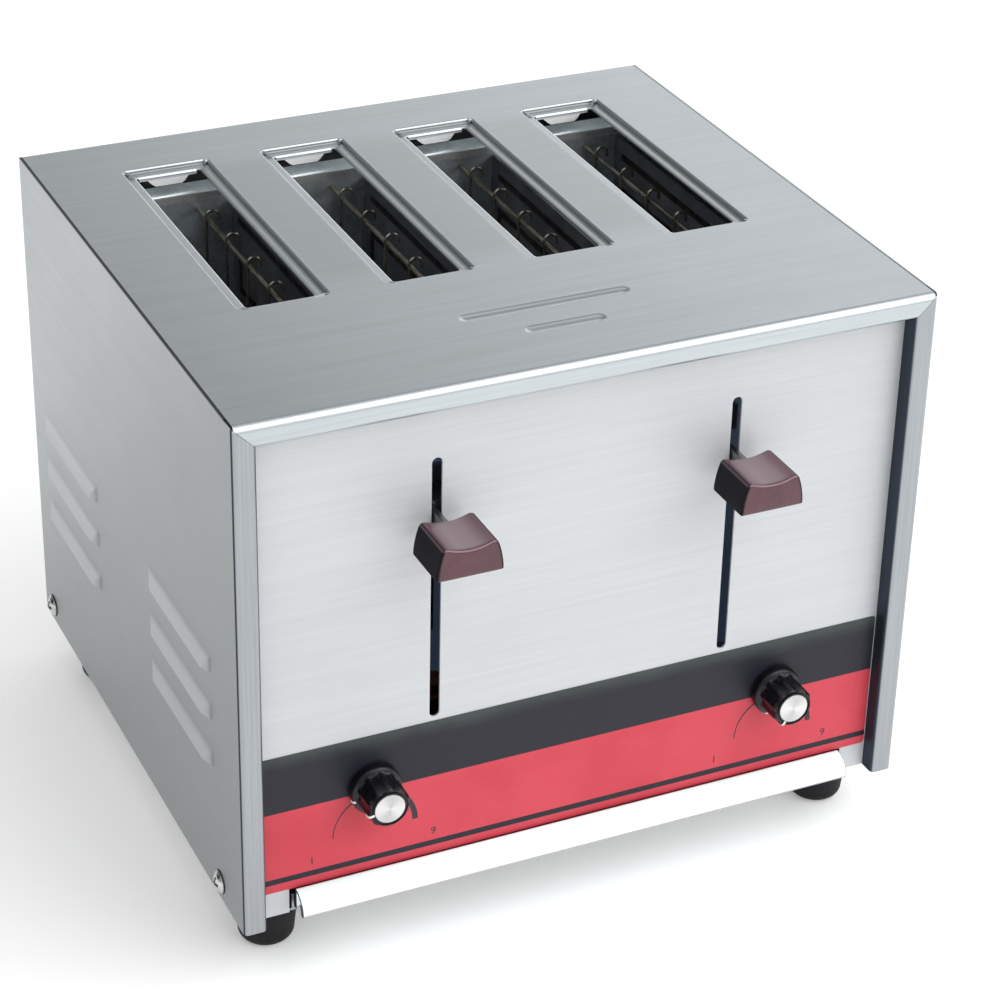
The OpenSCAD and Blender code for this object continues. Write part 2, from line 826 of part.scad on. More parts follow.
module foot_screws() {
  color("silver") for (x = foot_xs, y = foot_ys)
    translate([x, y, foot_seat_z]) rotate([180, 0, 0])
      pan_screw(2 * foot_screw_r, foot_screw_head_h, foot_screw_r,
        foot_h - foot_seat_z + sheet_t + foot_screw_run);
}

// Rubber bush that snaps into the rear panel
module cord_bush() {
  skin = rear_y - sheet_t;
  color("black") translate([cord_x, 0, base_z + cord_z]) difference() {
    union() {
      bar_y(0, 0, [skin - sheet_t - 3, rear_y + cord_proud], cord_hole_r);
      bar_y(0, 0, [skin, skin + 3], cord_hole_r + 3);
      bar_y(0, 0, [skin - sheet_t - 3, skin - sheet_t], cord_hole_r + 1.5);
    }
    bar_y(0, 0, [skin - sheet_t - 3 - over, rear_y + cord_proud + over], cord_r);
  }
}

// Crumb tray

module crumb_tray() {
  wall_z = [tray_floor, tray_floor + tray_h];
  y = [tray_front - sheet_t, tray_rear];
  color("silver") {
    block([-tray_x, tray_x], y, [tray_floor, tray_floor + sheet_t]);
    for (side = SIDES) on_side(side) block([tray_x - sheet_t, tray_x], y, wall_z);
    block([-tray_x, tray_x], [y[0], y[0] + sheet_t], wall_z);
    block([-tray_x, tray_x], [y[1] - sheet_t, y[1]], wall_z);
  }
}

// Rolled pull on the tray's front: a strip that curls out and down, with a folded hem
module tray_pull() {
  hem_r = pull_r - sheet_t - hem_gap;
  fold_r = hem_gap / 2;
  color("whitesmoke") along_x([-1, 1] * (tray_x + 1)) {
    rect([pull_y, pull_y + sheet_t], [tray_floor + 1, pull_top]);
    translate([pull_y, pull_top - pull_r]) {
      elbow(pull_r - sheet_t, 90);
      intersection() {
        elbow(hem_r - sheet_t, 90);
        rect([-hem_r, 0], [0, hem_h]);
      }
      translate([-hem_r - fold_r, 0]) {
        elbow(fold_r, 180);
        elbow(fold_r, 270);
      }
    }
  }
}

// Oven

// Outline from the front of an oven end wall, without its top fold
module oven_wall_outline() {
  slot_low = rack_low - lever_down - 2;
  slot_high = rack_top + lever_up + 2;
  difference() {
    rect([-oven_wall_x, oven_wall_x], [base_z + sheet_t, oven_top - bend_o]);
    rect([-mouth_x, mouth_x], [base_z, base_z + tray_mouth_h + 1]);
    for (x = slot_xs) rect([x - rack_t / 2 - rack_gap, x + rack_t / 2 + rack_gap], [slot_low, slot_high]);
    for (x = board_xs, z = board_tab_zs)
      rect([x - board_t / 2 - seam, x + board_t / 2 + seam], [z - board_tab_h / 2, z + board_tab_h / 2]);
    for (x = lead_xs) translate([x, lead_z]) square(lead_hole, center = true);
  }
}

module oven_front_wall() {
  color("silver") {
    along_y([oven_y0 - sheet_t, oven_y0]) oven_wall_outline();
    along_x([-oven_wall_x, oven_wall_x]) {
      translate([oven_y0 - bend_o, oven_top - bend_o]) elbow(bend_r, 0);
      rect([oven_y0 - oven_flange, oven_y0 - bend_o], [oven_top - sheet_t, oven_top]);
    }
  }
}

module oven_rear_wall() {
  color("silver") {
    along_y([oven_y1, oven_y1 + sheet_t]) oven_wall_outline();
    along_x([-oven_wall_x, oven_wall_x]) {
      translate([oven_y1 + bend_o, oven_top - bend_o]) elbow(bend_r, 90);
      rect([oven_y1 + bend_o, oven_y1 + oven_flange], [oven_top - sheet_t, oven_top]);
    }
  }
}

module oven_side_wall() {
  color("silver") along_z([oven_low, oven_top - bend_o]) {
    rect([oven_x, oven_x + sheet_t], [oven_y0, oven_y1]);
    for (y = [[oven_y0, oven_y0 + sheet_t], [oven_y1 - sheet_t, oven_y1]])
      rect([oven_x, oven_wall_x], y);
  }
}

module oven_left_wall() { on_side("left") oven_side_wall(); }
module oven_right_wall() { on_side("right") oven_side_wall(); }

module element_board(i) {
  x = board_xs[i];
  color("saddlebrown") along_x([x - board_t / 2, x + board_t / 2]) {
    rect([oven_y0 + play, oven_y1 - play], [board_z0, board_z1]);
    for (z = board_tab_zs)
      rect([oven_y0 - 2 * sheet_t, bus_y], [z - board_tab_h / 2, z + board_tab_h / 2]);
  }
}

// One unbroken zigzag of ribbon, seen on the board's face
module ribbon_outline() {
  y = [oven_y0 + 8, oven_y1 - 8];
  pitch = (board_z1 - board_z0 - 16) / (ribbon_runs - 1);
  for (run = [0:ribbon_runs - 1]) {
    z = board_z0 + 8 + run * pitch;
    rect(y, [z - ribbon_w / 2, z + ribbon_w / 2]);
    if (run > 0) {
      end = run % 2 == 0 ? [y[0], y[0] + ribbon_w] : [y[1] - ribbon_w, y[1]];
      rect(end, [z - pitch, z]);
    }
  }
}

module heater_ribbons() {
  color("dimgray") for (x = board_xs, face = [-1, 1]) {
    skin = x + face * board_t / 2;
    along_x([min(skin, skin + face * ribbon_t), max(skin, skin + face * ribbon_t)]) ribbon_outline();
  }
}

// Wire with a hook at its top that leans to +X
module guard_wire(low, high) {
  cylinder(h = high - low, r = wire_r);
  translate([hook_r, 0, high - low]) rotate([90, 0, 0]) rotate_extrude(angle = 180)
    translate([hook_r, 0]) circle(wire_r);
  translate([2 * hook_r, 0, high - low - hook_leg]) cylinder(h = hook_leg, r = wire_r);
}

// Welded grid on the +X side of a slot
module guard() {
  rod_zs = [base_z + guard_low, top_z - guard_drop];
  low = rod_zs[0] - wire_tail;
  rod_x = guard_x + wire_r + guard_rod_r - weld_sink;
  for (z = rod_zs) bar_y(rod_x, z, [oven_y0, oven_y1], guard_rod_r);
  for (i = [0:wire_count - 1])
    translate([guard_x, oven_y1 - wire_margin - i * wire_pitch, low])
      guard_wire(low, rod_zs[1] + hook_leg);
}

module slot_guards(i) {
  color("slategray") translate([slot_xs[i], 0, 0]) for (side = SIDES) on_side(side) guard();
}

// Carriages and levers

module guide_rod() {
  color("silver") {
    bar_z(lever_x, rod_y, [shelf_z + shelf_t, bar_z], rod_r);
    bar_z(lever_x, rod_y, [shelf_z, bar_z + bar_t], spigot_r);
  }
}

module left_guide_rod() { on_side("left") guide_rod(); }
module right_guide_rod() { on_side("right") guide_rod(); }

module carriage() {
  reach = [slot_xs[2] - 4, slot_xs[3] + 4];
  color("lightslategray") difference() {
    union() {
      bar_z(lever_x, rod_y, [rack_low, arm_z + arm_h], bush_r);
      block(reach, [plate_y, plate_y + plate_t], [rack_low, rack_top + 2]);
      block([lever_x - arm_pad_half, lever_x + arm_pad_half], [arm_pad_y, rod_y],
        [arm_z - arm_h, arm_z + arm_h]);
      block([spring_x - ear_half, spring_x + ear_half], [rod_y - ear_half, plate_y + 1],
        [spring_z0 - ear_t, spring_z0]);
      block([magnet_x - armature_r, magnet_x + armature_r], [rod_y, plate_y + 1],
        [rack_low, rack_low + ear_t]);
      bar_z(magnet_x, rod_y, [armature_z, rack_low + ear_t], armature_r);
    }
    bar_z(lever_x, rod_y, [rack_low - over, arm_z + arm_h + over], rod_r + rod_fit);
  }
}

module left_carriage() { on_side("left") carriage(); }
module right_carriage() { on_side("right") carriage(); }

module bread_rack(i) {
  rest_pitch = (slot_l - 20) / (rest_count - 1);
  color("silver") translate([slot_xs[i], 0, 0]) {
    block([-rack_t / 2, rack_t / 2], [plate_y + plate_t, oven_y1 + sheet_t], [rack_low, rack_top]);
    for (k = [0:rest_count - 1]) {
      y = slot_y0 + 10 + k * rest_pitch;
      block([-rest_half, rest_half], [y - rack_t / 2, y + rack_t / 2], [rack_top - 4, rack_top]);
    }
  }
}

module lever_arm() {
  y = [lever_back_y - arm_socket_d, arm_pad_y];
  color("silver") translate([lever_x, 0, arm_z]) block([-1, 1] * arm_t / 2, y, [-1, 1] * arm_h / 2);
}

module left_lever_arm() { on_side("left") lever_arm(); }
module right_lever_arm() { on_side("right") lever_arm(); }

// Moulded lever knob: wider at its foot, hollowed on top for a finger
module lever_knob() {
  half_top = lever_knob_top_w / 2;
  saddle_r = (half_top * half_top + saddle_d * saddle_d) / (2 * saddle_d);
  low = -lever_knob_h / 2;
  high = lever_knob_h / 2;
  color([0.33, 0.2, 0.22]) translate([lever_x, 0, arm_z]) difference() {
    along_y([lever_front_y, lever_back_y]) difference() {
      polygon([[-lever_knob_w / 2, low], [lever_knob_w / 2, low], [half_top, high], [-half_top, high]]);
      translate([0, high + saddle_r - saddle_d]) circle(saddle_r);
    }
    block([-1, 1] * (arm_t / 2 + seam / 2), [lever_back_y - arm_socket_d, lever_back_y + over],
      [-1, 1] * (arm_h / 2 + seam / 2));
  }
}

module left_lever_knob() { on_side("left") lever_knob(); }
module right_lever_knob() { on_side("right") lever_knob(); }

// Points along a spring whose ends run in to its axis
function spring_points(z0, z1) =
  let (steps = spring_turns * turn_steps, stub = 4 * spring_wire_r, rise = z1 - z0 - 2 * stub)
  concat([[0, 0, z0]], [for (i = [0:steps])
    let (share = min(1, i / end_steps, (steps - i) / end_steps), turn = i * 360 / turn_steps)
    [spring_r * share * cos(turn), spring_r * share * sin(turn), z0 + stub + rise * i / steps]],
    [[0, 0, z1]]);

// Least gap between turns, measured from point to point
function least_gap(points) =
  let (last = len(points) - 1)
  min([for (i = [0:last - 4], j = [i + 4:last]) norm(points[j] - points[i])]) - 2 * spring_wire_r;

echo(spring_gap = least_gap(spring_points(spring_z0, bar_z)));

// Closed tube of six sides swept along points that climb
module climbing_tube(points, r) {
  n = len(points);
  function heading(i) = points[min(i + 1, n - 1)] - points[max(i - 1, 0)];
  function ring(i) =
    let (d = i == 0 || i == n - 1 ? [0, 0, 1] : heading(i) / norm(heading(i)))
    let (u0 = cross(d, [1, 0, 0]), u = u0 / norm(u0), v = cross(d, u))
    [for (k = [0:5]) points[i] + r * (cos(60 * k) * u + sin(60 * k) * v)];
  sides = [for (i = [0:n - 2], k = [0:5], half = [0, 1])
    let (a = 6 * i + k, b = 6 * i + (k + 1) % 6) half == 0 ? [a, a + 6, b] : [b, a + 6, b + 6]];
  caps = [for (k = [1:4]) each [[0, k, k + 1], [6 * n - 6, 6 * n - 6 + k + 1, 6 * n - 6 + k]]];
  polyhedron(points = [for (i = [0:n - 1]) each ring(i)], faces = concat(sides, caps));
}

module return_spring() {
  color("gainsboro") translate([spring_x, rod_y, 0])
    climbing_tube(spring_points(spring_z0, bar_z), spring_wire_r);
}

module left_return_spring() { on_side("left") return_spring(); }
module right_return_spring() { on_side("right") return_spring(); }

// Coil on an iron core that holds the carriage down
module hold_magnet() {
  color("peru") translate([magnet_x, rod_y, 0]) {
    bar_z(0, 0, [shelf_z + shelf_t, magnet_top], magnet_r / 2);
    bar_z(0, 0, [shelf_z + shelf_t, shelf_z + 2 * shelf_t], magnet_r);
    bar_z(0, 0, [shelf_z + 3 * shelf_t, magnet_top - 4], magnet_r - 1);
    bar_z(0, 0, [magnet_top - 4, magnet_top - 2.8], magnet_r);
    bar_z(0, 0, [shelf_z + 2 * shelf_t, shelf_z + 3 * shelf_t], magnet_r);
  }
}

module left_hold_magnet() { on_side("left") hold_magnet(); }
module right_hold_magnet() { on_side("right") hold_magnet(); }

module mechanism_shelf() {
  color("gray") difference() {
    block([-inner_x, inner_x], [panel_y + sheet_t, oven_y0 - sheet_t], [shelf_z, shelf_z + shelf_t]);
    for (side = [-1, 1]) bar_z(side * lever_x, rod_y, [shelf_z - over, shelf_z + 2 * shelf_t], spigot_r);
    for (i = [0, 1])
      translate([lead_xs[i], lead_front_y, shelf_z])
        cube([lead_hole, lead_hole, 3 * shelf_t], center = true);
  }
}

module rod_bar() {
  color("gray") difference() {
    block([-1, 1] * (side_x - sheet_t), [rod_y - bar_half, rod_y + bar_half], [bar_z, bar_z + bar_t]);
    for (side = [-1, 1]) bar_z(side * lever_x, rod_y, [bar_z - over, bar_z + bar_t + over], spigot_r);
  }
}

// Dials and electrics

// Timer control with its threaded neck and nut
module timer() {
  color("darkslategray") translate([dial_x, 0, dial_axis_z]) difference() {
    union() {
      bar_y(0, 0, [panel_y + sheet_t, panel_y + sheet_t + timer_l], timer_r);
      bar_y(0, 0, [nut_bay_y + 1, panel_y + sheet_t], thread_r);
      along_y([label_face - nut_l, label_face]) circle(nut_r, $fn = 6);
    }
    bar_y(0, 0, [nut_bay_y, timer_bore_y], shaft_r + shaft_fit);
  }
}

module left_timer() { on_side("left") timer(); }
module right_timer() { on_side("right") timer(); }

module timer_shaft() {
  color("silver") bar_y(dial_x, dial_axis_z, [shaft_tip, timer_bore_y - 1], shaft_r);
}

module left_timer_shaft() { on_side("left") timer_shaft(); }
module right_timer_shaft() { on_side("right") timer_shaft(); }

// Fluted dial with a skirt and a pointer groove, pointing at an angle
module dial_knob(x, pointer) {
  flute_r = flute_share * PI * dial_r / flute_count;
  color("black") translate([x, 0, dial_axis_z]) difference() {
    union() {
      bar_y(0, 0, [skirt_y - skirt_l, skirt_y], skirt_r);
      along_y([dial_front, skirt_y - skirt_l + over]) rotate(pointer) difference() {
        circle(dial_r);
        for (k = [0.5:flute_count])
          rotate(k * 360 / flute_count) translate([dial_r + flute_r / 2, 0]) circle(flute_r);
      }
    }
    bar_y(0, 0, [nut_bay_y, skirt_y + over], nut_bay_r);
    bar_y(0, 0, [shaft_tip, nut_bay_y + over], shaft_r);
    bar_y(0, 0, [dial_front - over, dial_front + cap_sink], cap_r + seam / 2);
    along_y([dial_front - over, dial_front + cap_sink]) rotate(pointer)
      rect([0, dial_r + over], [-1, 1] * pointer_half);
  }
}

module left_dial_knob() { dial_knob(-dial_x, left_pointer); }
module right_dial_knob() { dial_knob(dial_x, right_pointer); }

module dial_cap() {
  seat = dial_front + cap_sink;
  color("silver") bar_y(dial_x, dial_axis_z, [seat - cap_t, seat], cap_r);
}

module left_dial_cap() { on_side("left") dial_cap(); }
module right_dial_cap() { on_side("right") dial_cap(); }

// Circuit board on four spacers, with its transformer, relays and wire clamp
module control_board() {
  back = pcb_y + pcb_t;
  middle = (pcb_z0 + pcb_z1) / 2;
  color("darkgreen") {
    block([-pcb_half, pcb_half], [pcb_y, back], [pcb_z0, pcb_z1]);
    for (x = [-1, 1] * (pcb_half - pcb_edge), z = [pcb_z0 + pcb_edge, pcb_z1 - pcb_edge])
      bar_y(x, z, [panel_y + sheet_t, pcb_y], spacer_r);
    translate([-transformer_x, 0, middle])
      block([-1, 1] * transformer_w / 2, [pcb_y, back + transformer_h], [-1, 1] * transformer_w / 2);
    for (x = [0, relay_w + relay_gap])
      block([x, x + relay_w], [pcb_y, back + relay_w], [middle - relay_l / 2, middle + relay_l / 2]);
    block([pcb_half - clamp_w, pcb_half], [pcb_y, lead_front_y + clamp_wall],
      [lead_top_zs[0] - clamp_wall, lead_top_zs[1] + clamp_wall]);
  }
}

// Ceramic block where the supply meets the leads, beside the tray
module terminal_block() {
  top = base_z + sheet_t + block_h;
  color("ivory") {
    block(block_xs, block_ys, [base_z + sheet_t, top]);
    for (x = lead_xs, y = [-1, 1] * 2 * (block_cap_r + block_cap_h))
      bar_z(x, slot_y + y, [top - over, top + block_cap_h], block_cap_r);
  }
}

// Two bus strips with their leads, and the two leads to the board
module wiring() {
  color("chocolate") for (i = [0, 1]) {
    tab_z = board_tab_zs[i];
    block([-bus_x, bus_x], [bus_y, bus_y + bus_t], [tab_z - board_tab_h / 2, tab_z + board_tab_h / 2]);
    lead([
      [lead_xs[i], block_ys[1], lead_z],
      [lead_xs[i], lead_rear_y, lead_z],
      [lead_xs[i], lead_rear_y, tab_z],
      [bus_x - 2 * conductor_r, lead_rear_y, tab_z]
    ]);
    lead([
      [lead_xs[i], block_ys[0], lead_z],
      [lead_xs[i], lead_front_y, lead_z],
      [lead_xs[i], lead_front_y, lead_top_zs[i]],
      [pcb_half, lead_front_y, lead_top_zs[i]]
    ]);
  }
}

left_side_panel();
right_side_panel();
top_cover();
front_panel();
rear_panel();
base_plate();
control_label();
side_screws();
rear_screws();
front_left_foot();
front_right_foot();
rear_left_foot();
rear_right_foot();
foot_screws();
cord_bush();
crumb_tray();
tray_pull();
oven_front_wall();
oven_rear_wall();
oven_left_wall();
oven_right_wall();
element_board(0);  // element_board_1
element_board(1);  // element_board_2
element_board(2);  // element_board_3
element_board(3);  // element_board_4
element_board(4);  // element_board_5
heater_ribbons();
slot_guards(0);  // slot_1_guards
slot_guards(1);  // slot_2_guards
slot_guards(2);  // slot_3_guards
slot_guards(3);  // slot_4_guards
left_guide_rod();
right_guide_rod();
left_carriage();
right_carriage();
bread_rack(0);  // bread_rack_1
bread_rack(1);  // bread_rack_2
bread_rack(2);  // bread_rack_3
bread_rack(3);  // bread_rack_4
left_lever_arm();
right_lever_arm();
left_lever_knob();
right_lever_knob();
left_return_spring();
right_return_spring();
left_hold_magnet();
right_hold_magnet();
mechanism_shelf();
rod_bar();
left_timer();
right_timer();
left_timer_shaft();
right_timer_shaft();
left_dial_knob();
right_dial_knob();
left_dial_cap();
right_dial_cap();
control_board();
terminal_block();
wiring();
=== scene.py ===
import json
import math

import bmesh
import bpy
from mathutils import Matrix, Vector


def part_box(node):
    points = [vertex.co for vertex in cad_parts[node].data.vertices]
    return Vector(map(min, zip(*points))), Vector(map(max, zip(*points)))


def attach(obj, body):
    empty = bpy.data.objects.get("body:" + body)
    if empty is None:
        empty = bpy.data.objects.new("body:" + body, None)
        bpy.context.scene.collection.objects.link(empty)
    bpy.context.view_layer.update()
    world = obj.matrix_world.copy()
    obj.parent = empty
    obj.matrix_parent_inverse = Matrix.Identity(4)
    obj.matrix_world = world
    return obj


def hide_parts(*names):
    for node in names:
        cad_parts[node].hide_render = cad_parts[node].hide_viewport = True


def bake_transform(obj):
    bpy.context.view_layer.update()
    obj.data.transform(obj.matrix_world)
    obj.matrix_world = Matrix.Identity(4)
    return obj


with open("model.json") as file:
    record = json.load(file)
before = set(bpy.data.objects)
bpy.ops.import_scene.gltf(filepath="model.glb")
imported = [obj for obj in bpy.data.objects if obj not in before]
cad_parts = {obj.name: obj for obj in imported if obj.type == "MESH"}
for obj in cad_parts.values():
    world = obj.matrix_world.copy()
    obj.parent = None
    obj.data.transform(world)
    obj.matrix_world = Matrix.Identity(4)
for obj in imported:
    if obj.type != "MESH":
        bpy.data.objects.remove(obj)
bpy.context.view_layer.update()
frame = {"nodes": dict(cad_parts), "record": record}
nodes = frame["nodes"]
mm = 0.001
upright = (math.radians(90), 0, 0)  # turns what lies flat to face the front
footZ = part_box("left_side_panel")[0].z / mm  # level of the casing's lower edge
print("frame:", len(nodes), "solids loaded")


# Hands: picking, shaping and settling a mesh

def letGo():
    if bpy.context.mode != "OBJECT":
        bpy.ops.object.mode_set(mode="OBJECT")
    bpy.ops.object.select_all(action="DESELECT")


def takeUp(piece):
    letGo()
    bpy.context.view_layer.objects.active = piece
    piece.select_set(True)


def openUp(piece):
    takeUp(piece)
    bpy.ops.object.mode_set(mode="EDIT")
    bpy.ops.mesh.select_all(action="DESELECT")


def settle(piece):
    takeUp(piece)
    bpy.ops.object.transform_apply(location=True, rotation=True, scale=True)
    return piece


def pickAll():
    bpy.ops.mesh.select_all(action="SELECT")


# kind is VERT, EDGE or FACE; the test gets a point, or a middle and a direction
def pick(piece, kind, test):
    bpy.ops.mesh.select_mode(type=kind)
    bpy.ops.mesh.select_all(action="DESELECT")
    mesh = bmesh.from_edit_mesh(piece.data)
    if kind == "VERT":
        found = [v for v in mesh.verts if test(v.co)]
    elif kind == "EDGE":
        found = [e for e in mesh.edges if test((e.verts[0].co + e.verts[1].co) / 2,
                                               (e.verts[1].co - e.verts[0].co).normalized())]
    else:
        found = [f for f in mesh.faces if test(f.calc_center_median(), f.normal)]
    for item in found:
        item.select_set(True)
    mesh.select_flush_mode()
    bmesh.update_edit_mesh(piece.data)
    return len(found)


def finishWith(piece, kind, **settings):
    takeUp(piece)
    step = piece.modifiers.new(kind.title(), kind)
    for name, value in settings.items():
        setattr(step, name, value)
    bpy.ops.object.modifier_apply(modifier=step.name)


def smooth(piece, angle):
    takeUp(piece)
    bpy.ops.object.shade_smooth_by_angle(angle=math.radians(angle))


def evenNormals(piece):
    openUp(piece)
    pickAll()
    bpy.ops.mesh.normals_make_consistent(inside=False)
    letGo()


def named(name):
    piece = bpy.context.active_object
    piece.name = name
    piece.data.name = name
    return piece


def twin(piece, name, shift):
    other = bpy.data.objects.new(name, piece.data.copy())
    bpy.context.scene.collection.objects.link(other)
    takeUp(other)
    bpy.ops.transform.translate(value=shift)
    return settle(other)


def handOver(piece, body, finish, standsFor=()):
    piece.data.materials.clear()
    piece.data.materials.append(finish)
    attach(piece, body)
    if standsFor:
        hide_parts(*standsFor)


# Rings round an axis along Y: each ring is (radius, y) or (radius, y, share of the lobes)
def turned(name, axis, rings, count, lobes=None):
    letGo()
    radius, y = rings[0][:2]
    bpy.ops.mesh.primitive_circle_add(vertices=count, radius=radius * mm, fill_type="NOTHING",
                                      location=(axis[0] * mm, y * mm, axis[1] * mm), rotation=upright)
    piece = settle(named(name))
    centre = Vector((axis[0] * mm, 0, axis[1] * mm))

    def angleOf(point):
        return math.degrees(math.atan2(point.z - centre.z, point.x - centre.x))

    openUp(piece)
    pickAll()
    bpy.ops.mesh.edge_face_add()
    bpy.ops.mesh.delete(type="ONLY_FACE")
    pickAll()
    lobed = 0.0
    for ring in rings[1:]:
        newRadius, newY = ring[:2]
        share = ring[2] if len(ring) > 2 else 0.0
        bpy.ops.mesh.extrude_region_move(TRANSFORM_OT_translate={"value": (0, (newY - y) * mm, 0)})
        scale = newRadius / radius
        bpy.ops.transform.resize(value=(scale, 1, scale), center_override=centre)
        if lobes and share != lobed:
            step = 360 / lobes["count"]
            perLobe = count // lobes["count"]
            for place in range(perLobe // 2 + 1):
                bend = 0.5 - 0.5 * math.cos(2 * math.pi * place / perLobe)
                bend = bend ** lobes["power"] * lobes["depth"] / newRadius
                change = (1 - bend * share) / (1 - bend * lobed)
                turn = place * step / perLobe

                def onPlace(point):
                    off = (angleOf(point) - lobes["turn"] + step / 2) % step - step / 2
                    return abs(point.y - newY * mm) < 1e-6 and abs(abs(off) - turn) < step / perLobe / 3

                pick(piece, "VERT", onPlace)
                bpy.ops.transform.resize(value=(change, 1, change), center_override=centre)
            lobed = share
            pick(piece, "VERT", lambda point: abs(point.y - newY * mm) < 1e-6)
            bpy.ops.mesh.select_mode(type="EDGE")
        radius, y = newRadius, newY
    bpy.ops.mesh.edge_face_add()
    bpy.ops.mesh.select_mode(type="EDGE")
    bpy.ops.mesh.select_non_manifold()
    bpy.ops.mesh.edge_face_add()
    evenNormals(piece)
    return piece


# A CAD sheet as its own mesh, with its doubles merged and its edges broken
def dressed(nodeName, name, edge, first):
    angle = 32
    piece = bpy.data.objects.new(name, nodes[nodeName].data.copy())
    bpy.context.scene.collection.objects.link(piece)
    takeUp(piece)
    bpy.ops.mesh.customdata_custom_splitnormals_clear()
    openUp(piece)
    pickAll()
    bpy.ops.mesh.remove_doubles(threshold=2e-6)
    bpy.ops.mesh.dissolve_limited(angle_limit=math.radians(0.6))
    if first:
        first(piece)
    letGo()
    finishWith(piece, "BEVEL", width=edge * mm, segments=2, limit_method="ANGLE",
               angle_limit=math.radians(angle), miter_outer="MITER_ARC")
    smooth(piece, angle)
    finishWith(piece, "WEIGHTED_NORMAL", keep_sharp=True, weight=100)
    return piece


# Shader values as Python expressions

class Sock:
    def __init__(self, tree, plug=None):
        self.tree = tree
        self.plug = plug

    def make(self, kind, settings=None, values=None, out=0):
        node = self.tree.nodes.new(kind)
        for name, value in (settings or {}).items():
            setattr(node, name, value)
        for name, value in (values or {}).items():
            if isinstance(value, Sock):
                self.tree.links.new(value.plug, node.inputs[name])
            else:
                node.inputs[name].default_value = value
        if isinstance(out, tuple):
            return [Sock(self.tree, node.outputs[one]) for one in out]
        return Sock(self.tree, node.outputs[out])

    def feed(self, shader, values):
        for name, value in values.items():
            self.tree.links.new(value.plug, shader.inputs[name])

    def sum(self, operation, first, second):
        return self.make("ShaderNodeMath", {"operation": operation}, {0: first, 1: second})

    def __add__(self, other):
        return self.sum("ADD", self, other)

    def __radd__(self, other):
        return self.sum("ADD", other, self)

    def __sub__(self, other):
        return self.sum("SUBTRACT", self, other)

    def __rsub__(self, other):
        return self.sum("SUBTRACT", other, self)

    def __mul__(self, other):
        return self.sum("MULTIPLY", self, other)

    def __truediv__(self, other):
        return self.sum("DIVIDE", self, other)

    def __abs__(self):
        return self.sum("ABSOLUTE", self, 0.0)

    def __neg__(self):
        return self.sum("SUBTRACT", 0.0, self)


def newFinish(name, fixed):
    material = bpy.data.materials.new(name)
    material.use_nodes = True
    shader = material.node_tree.nodes["Principled BSDF"]
    for socket, value in fixed.items():
        shader.inputs[socket].default_value = value
    return material, Sock(material.node_tree), shader


# the marks of a piece take the place of what the finish gave
def feedMarked(sock, shader, inputs, marks):
    if marks:
        inputs.update(marks(sock, *spot(sock), inputs["Base Color"], inputs["Roughness"]))
    sock.feed(shader, inputs)


# a colour as a picture gives it, 0 to 255, in the shader's own scale
def hue(red, green, blue):
    def level(value):
        value = value / 255
        return value / 12.92 if value <= 0.04045 else ((value + 0.055) / 1.055) ** 2.4
    return (level(red), level(green), level(blue), 1.0)


def grey(value, tint=(1, 1, 1)):
    return (value * tint[0], value * tint[1], value * tint[2], 1.0)


def spot(sock):
    where = sock.make("ShaderNodeTexCoord", out="Object")
    x, y, z = sock.make("ShaderNodeSeparateXYZ", values={0: where}, out=(0, 1, 2))
    return x * 1000, y * 1000, z * 1000 - footZ  # in millimetres, above the casing's lower edge


def speckle(sock, scale, detail=3.0, rough=0.55, shift=(0, 0, 0)):
    where = sock.make("ShaderNodeTexCoord", out="Object")
    stretch = scale if isinstance(scale, tuple) else (scale, scale, scale)
    laid = sock.make("ShaderNodeMapping", values={"Vector": where, "Scale": stretch, "Location": shift})
    return sock.make("ShaderNodeTexNoise", values={"Vector": laid, "Scale": 1.0, "Detail": detail,
                                                   "Roughness": rough})


def cells(sock, scale):  # one grey level to each cell
    where = sock.make("ShaderNodeTexCoord", out="Object")
    laid = sock.make("ShaderNodeMapping", values={"Vector": where, "Scale": (scale, scale, scale)})
    colour = sock.make("ShaderNodeTexVoronoi", values={"Vector": laid, "Scale": 1.0}, out="Color")
    return sock.make("ShaderNodeRGBToBW", values={0: colour})


def brushLines(sock, run, across, along, detail=4.0, rough=0.62):
    stretch = [across, across, across]
    stretch[run] = along
    return speckle(sock, tuple(stretch), detail, rough)


def rise(value, low, high):  # 0 below low, 1 above high
    return value.make("ShaderNodeMapRange", {"interpolation_type": "SMOOTHSTEP"},
                      {"Value": value, "From Min": low, "From Max": high})


def between(value, low, high, edge):  # 1 from low to high
    return rise(value, low - edge, low + edge) * rise(value, high + edge, high - edge)


def tinted(share, first, second):
    return share.make("ShaderNodeMix", {"data_type": "RGBA", "blend_type": "MIX", "clamp_factor": True},
                      {0: share, 6: first, 7: second}, out=2)


def relief(height, depth, strength):  # depth in millimetres
    return height.make("ShaderNodeBump", values={"Strength": strength, "Distance": depth * mm,
                                                 "Height": height})


# Finishes of the metal sheets

# the tones differ by face, the front lightest and the top, sides and rear darker: painted light and shade
# for how each face meets the light
sheetLooks = {
    "side": {"run": 1, "dark": grey(0.41, (0.955, 1.0, 1.03)), "light": grey(0.50, (0.955, 1.0, 1.035)),
             "rough": 0.36, "metal": 1.0},
    "top": {"run": 0, "dark": grey(0.50, (0.92, 1.0, 1.035)), "light": grey(0.59, (0.93, 1.0, 1.05)),
            "rough": 0.31, "metal": 1.0},
    "front": {"run": 0, "dark": grey(0.585, (0.965, 1.0, 1.025)), "light": grey(0.655, (0.97, 1.0, 1.03)),
              "rough": 0.58, "metal": 0.3},
    "rear": {"run": 0, "dark": grey(0.40, (0.955, 1.0, 1.03)), "light": grey(0.52, (0.955, 1.0, 1.035)),
             "rough": 0.36, "metal": 1.0},
}
